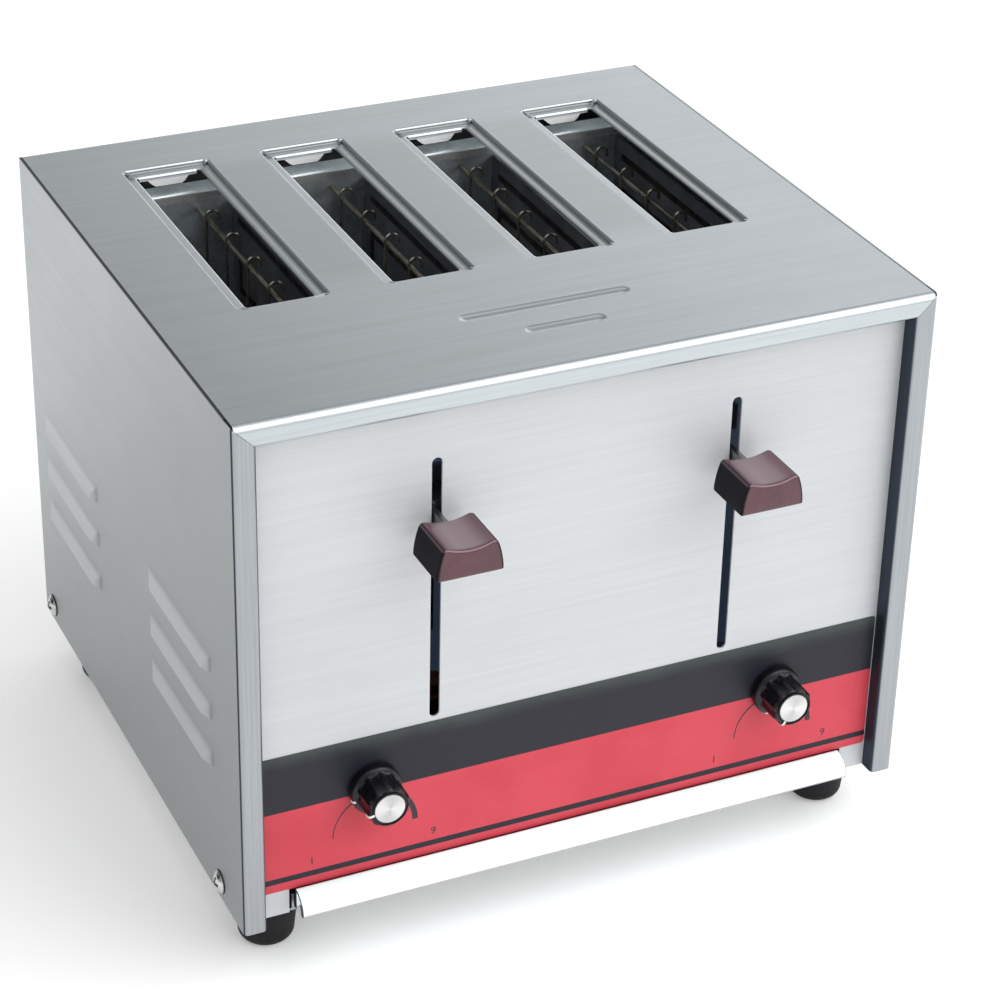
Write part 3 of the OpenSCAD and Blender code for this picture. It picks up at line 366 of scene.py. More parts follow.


# the flange fronts have an upright grain; their bends get a painted dark reflection and their returns
# painted shade
flangeLook = {"front": (-127.3, -127.9), "plateDark": grey(0.36, (0.94, 1.0, 1.05)),
              "plateLight": grey(0.41, (0.94, 1.0, 1.05)), "worn": (240, 90), "paintedShadeShare": 0.65,
              "paintedLightTint": grey(0.26, (0.94, 1.0, 1.03)), "bend": (-127.75, -126.9, 0.2),
              "bendFrom": (151.2, 151.8), "bendReflectionTint": hue(52, 58, 68), "inside": (143.9, 143.4),
              "insideFrom": (-128.3, -127.6), "returnShadeTint": hue(66, 74, 86), "louvre": (152.5, 153.5),
              "louvreShare": 0.42, "louvreLightTint": grey(0.62, (0.955, 1.0, 1.03)), "seam": (233.3, 233.7),
              "seamFrom": (-124, -122), "seamSide": (10, -10), "seamTint": hue(62, 66, 70)}


def flangeMarks(sock, x, y, z, colour, roughness):
    look = flangeLook
    out = abs(x)
    # painted shade: the sides darken from the rear's top to the front's foot, standing in for the shaded
    # floor they mirror there
    worn = rise(z * 0.83 + y * 0.73, *look["worn"])  # from the rear's top to the front's foot
    colour = tinted(worn * look["paintedShadeShare"], colour, look["paintedLightTint"])
    # the flange fronts' plate tones are set for how they meet the light: painted light and shade
    grain = brushLines(sock, 2, 1500, 14, 4.0, 0.6)
    plate = tinted(rise(grain, 0.35, 0.65), look["plateDark"], look["plateLight"])
    colour = tinted(rise(y, *look["front"]), colour, plate)
    # painted reflection: a dark line along the front bend
    bend = between(y, *look["bend"]) * rise(out, *look["bendFrom"])
    # painted shade: the inner returns are dark
    inside = rise(out, *look["inside"]) * rise(y, *look["insideFrom"])
    colour = tinted(bend, colour, look["bendReflectionTint"])
    colour = tinted(inside, colour, look["returnShadeTint"])
    # painted reflection: the louvres' faces are lighter
    louvre = rise(out, *look["louvre"]) * look["louvreShare"]
    colour = tinted(louvre, colour, look["louvreLightTint"])
    seam = rise(z, *look["seam"]) * rise(y, *look["seamFrom"])
    seam = seam * rise(x, *look["seamSide"])
    return {"Base Color": tinted(seam, colour, look["seamTint"]),
            "Roughness": roughness + inside * 0.2}


# the top: painted shade as dark lines at the rims' steps, on their rear steps and between the slots; a
# painted highlight along each opening's left, and painted light on the tabs
rimLook = {"pitch": 64.0, "strips": (-25, 105, 10), "stripFrom": (20, 22), "stripTo": (88, 72),
           "stripShadeTint": grey(0.36, (0.93, 1.0, 1.04)), "rear": (110.0, 114.0, 0.3),
           "rearHalf": (20.0, 19.0), "rearStepShades": (((231.6, 232.9, 0.12), 0.35, grey(0.30)),
                                                   ((232.1, 232.9, 0.12), 0.8, grey(0.16))),
           "along": (-31, 109, 1.0), "floor": (231.6, 232.2, 0.1), "step": (232.15, 232.6, 0.12),
           "stepFrom": (15.0, 16.0), "stepAlong": (-36, 114, 0.5), "line": (15.5, 15.95, 0.12),
           "stepShadeTint": hue(96, 102, 104), "bead": (-15.5, -14.8, 0.12),
           "beadHighlightTint": grey(0.95, (0.97, 1.0, 1.0)), "tab": (229.9, 229.5), "tabFrom": (104.0, 105.0),
           "tabLightTint": grey(0.95, (1.0, 1.0, 0.98))}


def topMarks(sock, x, y, z, colour, roughness):
    look = rimLook
    # from the middle of the nearest slot
    off = sock.sum("FLOORED_MODULO", x + 2 * look["pitch"], look["pitch"]) - look["pitch"] / 2
    # painted shade: the strips between the slots are darker
    strips = between(y, *look["strips"]) * rise(abs(off), *look["stripFrom"])
    strips = strips * rise(abs(x), *look["stripTo"])
    colour = tinted(strips * 0.3, colour, look["stripShadeTint"])
    # painted shade on the rims' rear steps
    rear = between(y, *look["rear"]) * rise(abs(off), *look["rearHalf"])
    for level, share, tint in look["rearStepShades"]:
        colour = tinted(rear * between(z, *level) * share, colour, tint)
    onFloor = between(y, *look["along"]) * between(z, *look["floor"])
    # painted shade: dark lines on the right of each rim, on its step and on its floor beside the opening
    step = between(z, *look["step"]) * rise(off, *look["stepFrom"])
    step = step * between(y, *look["stepAlong"])
    line = between(off, *look["line"]) * onFloor
    colour = tinted((step + line) * 0.6, colour, look["stepShadeTint"])
    # painted highlight along each opening's left edge
    bead = between(off, *look["bead"]) * onFloor
    colour = tinted(bead * 0.8, colour, look["beadHighlightTint"])
    # painted light: the rear tabs are paler
    tab = rise(z, *look["tab"]) * rise(y, *look["tabFrom"])
    return {"Base Color": tinted(tab * 0.6, colour, look["tabLightTint"])}


def brushedSteel(name, look, marks=None):
    material, sock, shader = newFinish(name, {"Metallic": look["metal"]})
    fine = brushLines(sock, look["run"], 1700, 16, 5.0, 0.66)
    broad = brushLines(sock, look["run"], 330, 4, 3.0)
    cloud = speckle(sock, 8, 3.0)
    smear = speckle(sock, 31, 5.0, 0.6, (3, 1, 7))
    shade = fine * 0.55 + broad * 0.25 + cloud * 0.2
    colour = tinted(rise(shade, 0.32, 0.68), look["dark"], look["light"])
    scuff = rise(smear, 0.62, 0.78) * 0.2
    colour = tinted(scuff, colour, look["dark"])
    roughness = look["rough"] - 0.10 + fine * 0.16 + smear * 0.06
    inputs = {"Base Color": colour, "Roughness": roughness,
              "Normal": relief(fine * 0.7 + broad * 0.3, 0.012, 0.55)}
    feedMarked(sock, shader, inputs, marks)
    return material


metalLooks = {
    "galvanised": {"dark": grey(0.34), "light": grey(0.55, (0.98, 1.0, 1.02)), "rough": 0.42,
                   "scale": 60},
    "fastener": {"dark": grey(0.52), "light": grey(0.72), "rough": 0.22, "scale": 300},
    "tray": {"dark": grey(0.45), "light": grey(0.62), "rough": 0.30, "scale": 40},
    "pull": {"dark": grey(0.93), "light": grey(0.98), "rough": 0.5, "scale": 70, "metal": 0.08,
             "glow": 1.0},
    "oven": {"dark": hue(166, 177, 182), "light": hue(218, 228, 232), "rough": 0.45, "scale": 34,
             "metal": 0.6},
    "ribbon": {"dark": hue(52, 48, 50), "light": hue(108, 96, 86), "rough": 0.45, "scale": 160},
    "guard": {"dark": hue(128, 121, 106), "light": hue(176, 171, 158), "rough": 0.24, "scale": 50,
              "metal": 0.85},
    "rod": {"dark": grey(0.50), "light": grey(0.66), "rough": 0.20, "scale": 90},
    "carriage": {"dark": grey(0.34), "light": grey(0.50), "rough": 0.38, "scale": 70},
    "arm": {"dark": grey(0.20), "light": grey(0.32), "rough": 0.36, "scale": 90},
    "spring": {"dark": grey(0.40), "light": grey(0.60), "rough": 0.26, "scale": 220},
    "copper": {"dark": hue(122, 66, 36), "light": hue(196, 122, 78), "rough": 0.30, "scale": 240},
    "shaft": {"dark": grey(0.50), "light": grey(0.68), "rough": 0.24, "scale": 160},
}


# the side screws: painted shade in a dark ring where they meet the sheet, and in a dark cross recess
screwSize = {"middle": 16.75, "apart": 116.75, "height": 8.0, "ring": (151.0, 153.0, 0.25),
             "recess": (152.4, 152.6), "arm": (2.3, 2.0), "armHalf": (0.8, 0.6), "tint": hue(40, 42, 46)}


def screwMarks(sock, x, y, z, colour, roughness):
    size = screwSize
    along = abs(abs(y - size["middle"]) - size["apart"])
    above = abs(z - size["height"])
    ring = between(abs(x), *size["ring"])
    cross = rise(along, *size["armHalf"]) * rise(above, *size["arm"])
    cross = cross + rise(above, *size["armHalf"]) * rise(along, *size["arm"])
    # painted shade: the ring and the cross recess are darkened
    dark = ring + cross * rise(abs(x), *size["recess"])
    return {"Base Color": tinted(dark, colour, size["tint"]), "Roughness": roughness + ring * 0.3}


# the tray pull: a grey line of painted shade along its lower hem, ends painted dark as shade, and a top
# that glows as a painted white glare
pullLook = {"hem": (4.4, 4.0), "hemShadeTint": hue(168, 170, 180), "end": (127.6, 127.8),
            "endShadeTint": hue(50, 46, 60), "glare": (6.5, 11.0), "glareFrom": (-122.4, -122.9),
            "paintedGlareTint": (0.10, 0.32, 0.30, 1.0)}


def pullMarks(sock, x, y, z, colour, roughness):
    look = pullLook
    # painted shade along the lower hem
    colour = tinted(rise(z, *look["hem"]) * 0.9, colour, look["hemShadeTint"])
    # painted shade: the ends are dark
    shadedEnds = rise(abs(x), *look["end"])
    colour = tinted(shadedEnds, colour, look["endShadeTint"])
    # painted light: the top glows with an emission colour
    glare = rise(z, *look["glare"]) * (1 - shadedEnds) * rise(y, *look["glareFrom"])
    return {"Base Color": colour, "Emission Color": tinted(glare, grey(0.0), look["paintedGlareTint"])}


def plainMetal(name, look, marks=None):
    material, sock, shader = newFinish(name, {"Metallic": look.get("metal", 1.0),
                                              "Emission Strength": look.get("glow", 0.0)})
    patch = speckle(sock, look["scale"], 4.0, 0.6)
    grit = speckle(sock, look["scale"] * 9, 3.0, 0.6, (5, 2, 1))
    shade = patch * 0.7 + grit * 0.3
    colour = tinted(rise(shade, 0.32, 0.66), look["dark"], look["light"])
    roughness = look["rough"] - 0.08 + patch * 0.1 + grit * 0.08
    inputs = {"Base Color": colour, "Roughness": roughness, "Normal": relief(grit, 0.01, 0.4)}
    feedMarked(sock, shader, inputs, marks)
    return material


# zinc in large dull crystals
def galvanisedSheet(name, look):
    material, sock, shader = newFinish(name, {"Metallic": 1.0})
    shade = cells(sock, look["scale"])
    grit = speckle(sock, 600, 3.0)
    colour = tinted(shade * 0.8 + grit * 0.2, look["dark"], look["light"])
    sock.feed(shader, {"Base Color": colour, "Roughness": look["rough"] - 0.1 + shade * 0.2,
                       "Normal": relief(grit, 0.01, 0.35)})
    return material


# sheet round the heat: dull grey, with tints and soot that grow towards the elements
heatLook = {"heat": (190, 100), "heatTint": hue(96, 84, 74), "soot": (170, 60),
            "sootTint": hue(40, 40, 46), "fold": (214.5, 218.5, 0.8), "foldFrom": (105, 109),
            "foldHighlightTint": grey(0.95, (0.98, 1.0, 1.0)), "outside": (-36.6, -36.9), "outsideTop": (212, 204),
            "outsideTint": hue(33, 41, 54), "flange": (217.6, 218.2), "flangeFrom": (108.5, 109.5),
            "flangeTint": hue(136, 146, 150)}


def ovenSheet(name, look):
    material, sock, shader = newFinish(name, {"Metallic": look["metal"], "Emission Strength": 1.0})
    x, y, z = spot(sock)
    patch = speckle(sock, look["scale"], 4.0, 0.6)
    grit = speckle(sock, 420, 3.0, 0.6)
    colour = tinted(rise(patch * 0.7 + grit * 0.3, 0.3, 0.66), look["dark"], look["light"])
    heat = rise(z, *heatLook["heat"]) * rise(patch, 0.36, 0.7)
    colour = tinted(heat * 0.4, colour, heatLook["heatTint"])
    soot = rise(z, *heatLook["soot"])
    colour = tinted(soot * 0.8, colour, heatLook["sootTint"])
    # the rear wall's fold gets a painted highlight
    fold = between(z, *heatLook["fold"]) * rise(y, *heatLook["foldFrom"])
    colour = tinted(fold, colour, heatLook["foldHighlightTint"])
    # stray light in the case: on the front wall's outside, and on the rear wall's flange under the cover
    outside = rise(y, *heatLook["outside"]) * rise(z, *heatLook["outsideTop"])
    flange = rise(z, *heatLook["flange"]) * rise(y, *heatLook["flangeFrom"])
    stray = tinted(outside, grey(0.0), heatLook["outsideTint"])
    sock.feed(shader, {"Base Color": colour,
                       "Roughness": look["rough"] + patch * 0.16 - 0.08 - fold * 0.2,
                       "Emission Color": tinted(flange * patch, stray, heatLook["flangeTint"]),
                       "Normal": relief(grit, 0.015, 0.4)})
    return material


# aluminium turned on a lathe: rings about the dial's axis, and two bright wedges painted in as the turned
# finish's highlight
spunLook = {"dark": grey(0.46), "light": grey(0.76), "rough": 0.24, "pitch": 0.34}


def spunAluminium(name, axis, look):
    material, sock, shader = newFinish(name, {"Metallic": 1.0})
    x, y, z = spot(sock)
    side, above = x - axis[0], z - (axis[1] - footZ)
    radius = sock.sum("SQRT", side * side + above * above, 0.0)
    turn = sock.sum("ARCTAN2", above, side)
    ring = sock.sum("SINE", radius * (2 * math.pi / look["pitch"]), 0.0)
    # painted highlight: two bright wedges across the cap
    wedgeHighlight = sock.sum("COSINE", turn * 2 + 0.5, 0.0)
    grit = speckle(sock, 900, 2.0)
    shade = ring * 0.12 + wedgeHighlight * 0.3 + grit * 0.3 + 0.4
    colour = tinted(shade, look["dark"], look["light"])
    sock.feed(shader, {"Base Color": colour, "Roughness": look["rough"] + ring * 0.04,
                       "Normal": relief(ring * 0.5 + 0.5, 0.01, 0.5)})
    return material


# Finishes of the mouldings, rubber, boards and print

mouldingLooks = {
    "brown": {"dark": hue(76, 38, 48), "light": hue(92, 50, 60), "rough": 0.42, "scale": 60,
              "coat": 0.6, "shine": 0.3},
    "black": {"dark": hue(8, 6, 12), "light": hue(16, 13, 21), "rough": 0.28, "scale": 180,
              "coat": 0.1, "shine": 0.35},
    "timer": {"dark": hue(34, 42, 44), "light": hue(58, 68, 70), "rough": 0.48, "scale": 120, "shine": 0.5},
    "conductor": {"dark": hue(112, 46, 26), "light": hue(150, 74, 44), "rough": 0.42, "scale": 160,
                  "coat": 0.1, "shine": 0.5},
    "foot": {"dark": hue(10, 7, 11), "light": hue(24, 19, 25), "rough": 0.62, "scale": 240, "shine": 0.3},
    "bush": {"dark": hue(16, 15, 16), "light": hue(32, 30, 31), "rough": 0.58, "scale": 220, "shine": 0.4},
    "ceramic": {"dark": hue(206, 198, 182), "light": hue(236, 230, 218), "rough": 0.4, "scale": 90,
                "coat": 0.2, "shine": 0.5},
}


# the lever knobs: ends painted dark and matt as shade, a saddle lighter from wear and a painted sheen,
# painted highlights along the edges
knobLook = {"x": 66.0, "foot": 164.7, "height": 14.6, "lean": 3.0, "end": (12.7, 13.7),
            "endShadeTint": hue(14, 10, 20), "wornAcross": (12.0, 3.0), "wornFrom": (175.4, 176.6),
            "wornFront": (-153.2, -151.0), "paintedLightTint": hue(150, 134, 140), "frontEdge": (0.32, 0.48),
            "endEdge": (0.42, 0.49), "edgeHighlightTint": hue(164, 138, 146)}


def knobMarks(sock, x, y, z, colour, roughness):
    look = knobLook
    off = abs(abs(x) - look["x"])
    share = (z - look["foot"]) / look["height"]
    # painted shade: the ends are dark and matt
    shadedEnds = rise(off + share * share * look["lean"], *look["end"])
    # wear and a painted sheen: the saddle is lighter
    worn = rise(off, *look["wornAcross"]) * rise(z, *look["wornFrom"])
    worn = worn * rise(y, *look["wornFront"])
    colour = tinted(worn * 0.6, colour, look["paintedLightTint"])
    colour = tinted(shadedEnds, colour, look["endShadeTint"])
    # painted highlights along the front and end edges, by the way they face
    facing = sock.make("ShaderNodeTexCoord", out="Normal")
    faceX, faceY, faceZ = sock.make("ShaderNodeSeparateXYZ", values={0: facing}, out=(0, 1, 2))
    front = rise(-(faceY * faceZ), *look["frontEdge"])
    end = rise(abs(faceX * faceZ), *look["endEdge"])
    colour = tinted(front * 0.5 + end * 0.25, colour, look["edgeHighlightTint"])
    return {"Base Color": colour, "Roughness": roughness + shadedEnds * 0.4,
            "Coat Weight": (1 - shadedEnds) * mouldingLooks["brown"]["coat"]}


def moulding(name, look, marks=None):
    material, sock, shader = newFinish(name, {"Coat Weight": look.get("coat", 0.0),
                                              "Coat Roughness": 0.18,
                                              "Specular IOR Level": look["shine"]})
    swirl = speckle(sock, look["scale"], 5.0, 0.62)
    skin = speckle(sock, 2400, 2.0, 0.5, (1, 4, 2))
    rub = speckle(sock, 46, 4.0, 0.6, (9, 3, 5))
    colour = tinted(rise(swirl, 0.34, 0.68), look["dark"], look["light"])
    roughness = look["rough"] - 0.07 + rub * 0.12 + skin * 0.04
    inputs = {"Base Color": colour, "Roughness": roughness,
              "Normal": relief(skin * 0.6 + swirl * 0.4, 0.012, 0.4)}
    feedMarked(sock, shader, inputs, marks)
    return material


# mica: blue-grey flakes pressed into board, with darker stains
micaLook = {"dark": hue(88, 92, 102), "light": hue(120, 124, 132), "stain": hue(60, 64, 74),
            "rough": 0.35, "flakes": 210, "stains": 26}


def micaSheet(name, look):
    material, sock, shader = newFinish(name, {"Coat Weight": 0.3, "Coat Roughness": 0.3})
    flake = cells(sock, look["flakes"])
    patch = speckle(sock, look["stains"], 4.0)
    colour = tinted(flake, look["dark"], look["light"])
    colour = tinted(rise(patch, 0.42, 0.7) * 0.55, colour, look["stain"])
    sock.feed(shader, {"Base Color": colour, "Roughness": look["rough"] + flake * 0.3,
                       "Normal": relief(flake, 0.03, 0.5)})
    return material


# lacquered board with copper runs under the green, and darker parts standing on it
boardLook = {"green": hue(22, 70, 44), "runs": hue(48, 112, 66), "parts": hue(38, 40, 46), "rough": 0.32,
             "partsFrom": (-108.9, -108.5)}


def boardLacquer(name, look):
    material, sock, shader = newFinish(name, {"Coat Weight": 0.4, "Coat Roughness": 0.2})
    x, y, z = spot(sock)
    runs = brushLines(sock, 0, 420, 60, 2.0)
    grit = speckle(sock, 700, 3.0)
    colour = tinted(rise(runs, 0.5, 0.56), look["green"], look["runs"])
    colour = tinted(rise(y, *look["partsFrom"]), colour, look["parts"])
    sock.feed(shader, {"Base Color": colour, "Roughness": look["rough"] + grit * 0.2,
                       "Normal": relief(runs, 0.02, 0.4)})
    return material


# printed film: bands by height, with scuffs and a worn upper edge
filmLook = {"red": hue(210, 72, 86), "redDeep": hue(200, 62, 76), "black": hue(34, 34, 44),
            "blackWorn": hue(70, 80, 78), "glue": hue(188, 164, 118), "stripe": (16.0, 18.7, 0.12),
            "bandFoot": 51.0, "top": 78.0, "end": -141.9}


def printedFilm(name, look):
    material, sock, shader = newFinish(name, {"Specular IOR Level": 0.3})
    x, y, z = spot(sock)
    cloud = speckle(sock, 24, 4.0)
    tooth = speckle(sock, 1300, 3.0)
    drag = brushLines(sock, 0, 500, 20, 4.0)
    red = tinted(rise(cloud, 0.35, 0.68), look["red"], look["redDeep"])
    worn = rise(z + cloud * 9 + drag * 3, look["top"] - 2.0, look["top"] + 8.0)
    worn = worn + rise(x + cloud * 12, look["end"] + 9.0, look["end"] + 3.0) * 0.5
    black = tinted(worn * 0.8, look["black"], look["blackWorn"])
    inBand = rise(z, look["bandFoot"] - 0.12, look["bandFoot"] + 0.12)
    inStripe = between(z, *look["stripe"])
    colour = tinted(inBand + inStripe, red, black)
    colour = tinted(rise(x, look["end"] + 0.6, look["end"] + 0.3), colour, look["glue"])
    sock.feed(shader, {"Base Color": colour, "Roughness": 0.4 + tooth * 0.14 - drag * 0.08,
                       "Normal": relief(tooth, 0.008, 0.4)})
    return material


def printInk(name, dark, light):
    material, sock, shader = newFinish(name, {})
    tooth = speckle(sock, 1600, 3.0)
    colour = tinted(tooth, dark, light)
    sock.feed(shader, {"Base Color": colour, "Roughness": 0.4 + tooth * 0.2,
                       "Normal": relief(tooth, 0.006, 0.4)})
    return material


dialAxes = {"left": (-93.0, footZ + 53.7), "right": (93.0, footZ + 53.7)}
finishes = {
    "side_steel": brushedSteel("sideSteel", sheetLooks["side"], flangeMarks),
    "top_steel": brushedSteel("topSteel", sheetLooks["top"], topMarks),
    "front_steel": brushedSteel("frontSteel", sheetLooks["front"]),
    "galvanised_steel": galvanisedSheet("galvanisedSheet", metalLooks["galvanised"]),
    "printed_film": printedFilm("printedFilm", filmLook),
    "oven_steel": ovenSheet("ovenSheet", metalLooks["oven"]),
    "mica_board": micaSheet("micaSheet", micaLook),
    "circuit_board": boardLacquer("boardLacquer", boardLook),
    "fastener_steel": plainMetal("fastenerSteel", metalLooks["fastener"], screwMarks),
    "pull_steel": plainMetal("pullSteel", metalLooks["pull"], pullMarks),
    "coil_copper": plainMetal("coilCopper", metalLooks["copper"]),
    "ribbon_alloy": plainMetal("ribbonAlloy", metalLooks["ribbon"]),
    "guard_wire": plainMetal("guardWire", metalLooks["guard"]),
    "brown_moulding": moulding("brownMoulding", mouldingLooks["brown"], knobMarks),
    "black_moulding": moulding("blackMoulding", mouldingLooks["black"]),
    "timer_body": moulding("timerBody", mouldingLooks["timer"]),
    "ceramic": moulding("terminalCeramic", mouldingLooks["ceramic"]),
    "conductor": moulding("leadSleeve", mouldingLooks["conductor"]),
}
for key in ("tray", "rod", "carriage", "arm", "spring", "shaft"):
    finishes[key + "_steel"] = plainMetal(key + "Steel", metalLooks[key])
for key in ("foot", "bush"):
    finishes[key + "_rubber"] = moulding(key + "Rubber", mouldingLooks[key])
rearSteel = brushedSteel("rearSteel", sheetLooks["rear"])
spunCaps = {side: spunAluminium(side + "SpunCap", dialAxes[side], spunLook) for side in dialAxes}
whitePaint = printInk("whitePaint", hue(214, 212, 208), hue(244, 242, 238))
darkInk = printInk("darkInk", hue(34, 26, 34), hue(52, 42, 50))
slotOf = {row["node"]: row["material_slot"] for row in frame["record"]["subparts"]}
for node, slotName in slotOf.items():
    finish = finishes.get(slotName)
    if slotName == "spun_aluminium":
        finish = spunCaps[node.split("_")[0]]
    if node == "rear_panel":
        finish = rearSteel
    nodes[node].data.materials.clear()
    nodes[node].data.materials.append(finish)
print("finishes:", len(finishes) + len([rearSteel, whitePaint, darkInk, *spunCaps.values()]))

# Outer sheets, screws, feet and pull: their edges are broken, so that they catch the light
sheetEdges = {
    "left_side_panel": 0.35, "right_side_panel": 0.35, "top_cover": 0.35, "front_panel": 0.3,
    "rear_panel": 0.3, "tray_pull": 0.3, "crumb_tray": 0.25, "side_screws": 0.3, "rear_screws": 0.2,
    "front_left_foot": 0.6, "front_right_foot": 0.6, "rear_left_foot": 0.6, "rear_right_foot": 0.6,
    "cord_bush": 0.5, "left_lever_arm": 0.25, "right_lever_arm": 0.25,
}
rimSize = {"xs": (-96.0, -32.0, 32.0, 96.0), "middle": 38.8, "half": (19.3, 74.0), "top": 234.0,
           "floor": 232.0, "near": 0.02, "slack": 0.2, "corner": 2.0, "round": 0.95, "open": (14.8, 69.5),
           "openCorner": 1.6, "openRound": 0.6, "tabFoot": 224.8, "tabDepth": (108, 109.6), "tabHalf": 10,
           "tabLean": 1.1, "tabRise": 2.2}


# the pressed rims get a round step and a round opening, and shorter rear tabs that lean to the front
def roundRims(piece):
    size = rimSize

    def place(middle):  # from the nearest slot's middle, and the height
        return (min(abs(middle.x / mm - x) for x in size["xs"]), abs(middle.y / mm - size["middle"]),
                middle.z / mm - footZ)

    def onOutline(middle, half, corner, levels):
        across, off, z = place(middle)
        inside = across < half[0] + 0.1 and off < half[1] + 0.1
        outline = across > half[0] - corner or off > half[1] - corner
        return inside and outline and min(abs(z - level) for level in levels) < size["near"]

    def onFloor(z):
        return abs(z - size["floor"]) < size["near"]

    # each rim's floor is cut straight across, and its slanting cuts go
    cuts = [((0, size["middle"] * mm, 0), (0, 1, 0))]
    cuts += [((x * mm, 0, 0), (1, 0, 0)) for x in size["xs"]]
    for point, normal in cuts:
        pick(piece, "FACE", lambda middle, way: onFloor(place(middle)[2]) and way.z > 0.99)
        bpy.ops.mesh.bisect(plane_co=point, plane_no=normal)

    def slanting(middle, along):
        across, off, z = place(middle)
        within = across < size["half"][0] - size["slack"] and off < size["half"][1] - size["slack"]
        beyond = across > size["open"][0] + size["slack"] or off > size["open"][1] + size["corner"]
        return within and beyond and onFloor(z) and across > 0.05 and off > 0.05

    print("rims: slanting cuts", pick(piece, "EDGE", slanting))
    bpy.ops.mesh.dissolve_edges(use_verts=False)
    steps = (size["top"], size["floor"])
    pick(piece, "EDGE", lambda middle, along: onOutline(middle, size["half"], size["corner"], steps)
         and not slanting(middle, along))
    bpy.ops.mesh.bevel(offset=size["round"] * mm, segments=4, affect="EDGES")
    pick(piece, "EDGE", lambda middle, along: abs(along.z) < 0.1
         and onOutline(middle, size["open"], size["openCorner"], (size["floor"],)))
    bpy.ops.mesh.bevel(offset=size["openRound"] * mm, segments=3, affect="EDGES")
    for share in (0.0, 1.0):  # the tabs' lowest points, and those of their corners
        level = size["tabFoot"] + share
        pick(piece, "VERT", lambda point: abs(point.z / mm - footZ - level) < 0.05
             and size["tabDepth"][0] < point.y / mm < size["tabDepth"][1]
             and place(point)[0] < size["tabHalf"])
        lean = size["tabLean"] * (1 - share / 5.0)
        bpy.ops.transform.translate(value=(0, -lean * mm, size["tabRise"] * mm))


firstSteps = {"top_cover": roundRims}
bodies = frame["record"]["behaviour"]["bodies"]
bodyOf = {node: body for body, members in bodies.items() for node in members}
for node, edge in sheetEdges.items():
    piece = dressed(node, node + "_dressed", edge, firstSteps.get(node))
    handOver(piece, bodyOf[node], nodes[node].data.materials[0], [node])
print("dressed:", len(sheetEdges), "sheets and screws")

# Lever knobs: a saddle-topped moulding, wide at its foot
knobSize = {"x": 66.0, "z": footZ + 172.0, "front": -153.5, "back": -129.5, "foot": 28.6, "top": 22.6,
            "height": 14.6, "saddle": 2.6, "bulge": 1.5, "swell": 0.3, "edge": 1.2, "ridge": 2.4,
            "levels": (-9.0, -4.6, 0.0, 4.6, 9.0), "depths": (-8.5, 0.0, 8.5), "heights": (-3.4, 1.6),
            "swellHalf": 12.0, "ridgeFrom": 10.0, "sharp": 42.0}


def leverKnob(name, size):
    letGo()
    middleY = (size["front"] + size["back"]) / 2
    depth = size["back"] - size["front"]
    centre = Vector((-size["x"] * mm, middleY * mm, size["z"] * mm))
    bpy.ops.mesh.primitive_cube_add(size=1, location=centre,
                                    scale=(size["foot"] * mm, depth * mm, size["height"] * mm))
    piece = settle(named(name))
    openUp(piece)
    half = size["height"] / 2 * mm
    cuts = [(Vector((level * mm, 0, 0)), (1, 0, 0)) for level in size["levels"]]
    cuts += [(Vector((0, level * mm, 0)), (0, 1, 0)) for level in size["depths"]]
    cuts += [(Vector((0, 0, level * mm)), (0, 0, 1)) for level in size["heights"]]
    for point, normal in cuts:
        pickAll()
        bpy.ops.mesh.bisect(plane_co=centre + point, plane_no=normal)
    # the ends lean in towards the top, with a slight swell
    for level in (*size["heights"], size["height"] / 2):
        share = level / size["height"] + 0.5
        width = size["foot"] + (size["top"] - size["foot"]) * share
        width += size["bulge"] * 4 * share * (1 - share)
        pick(piece, "VERT", lambda point: abs(point.z - centre.z - level * mm) < 1e-6)
        bpy.ops.transform.resize(value=(width / size["foot"], 1, 1), center_override=centre)
    # the saddle is lowered level by level
    for level in size["levels"]:
        along = level / (size["foot"] / 2)
        drop = size["saddle"] * (1 - along * along)
        placeX = level * size["top"] / size["foot"] * mm
        pick(piece, "VERT", lambda point: abs(point.x - centre.x - placeX) < 1e-5
             and abs(point.z - centre.z - half) < 1e-6)
        bpy.ops.transform.translate(value=(0, 0, -drop * mm))
    # the front stands out a little at its middle
    pick(piece, "VERT", lambda point: abs(point.y - size["front"] * mm) < 1e-6
         and abs(point.z - centre.z) < half * 0.7 and abs(point.x - centre.x) < size["swellHalf"] * mm)
    bpy.ops.transform.translate(value=(0, -size["swell"] * mm, 0))
    # the ridges at the saddle's ends are rounder than the other edges
    pick(piece, "EDGE", lambda middle, along: abs(along.y) > 0.9
         and abs(middle.x - centre.x) > size["ridgeFrom"] * mm and middle.z - centre.z > half - 0.5 * mm)
    bpy.ops.mesh.bevel(offset=size["ridge"] * mm, segments=4, affect="EDGES")
    bpy.ops.mesh.select_all(action="DESELECT")
    bpy.ops.mesh.edges_select_sharp(sharpness=math.radians(size["sharp"]))
    bpy.ops.mesh.bevel(offset=size["edge"] * mm, segments=3, profile=0.6, affect="EDGES")
    letGo()
    finishWith(piece, "SUBSURF", levels=2, render_levels=2)
    smooth(piece, 60)
    return piece


leftKnob = leverKnob("left_lever_knob_moulding", knobSize)
rightKnob = twin(leftKnob, "right_lever_knob_moulding", (2 * knobSize["x"] * mm, 0, 0))
for side, knob in (("left", leftKnob), ("right", rightKnob)):
    handOver(knob, side + "_lift", finishes["brown_moulding"], [side + "_lever_knob"])
print("lever knobs: 2")

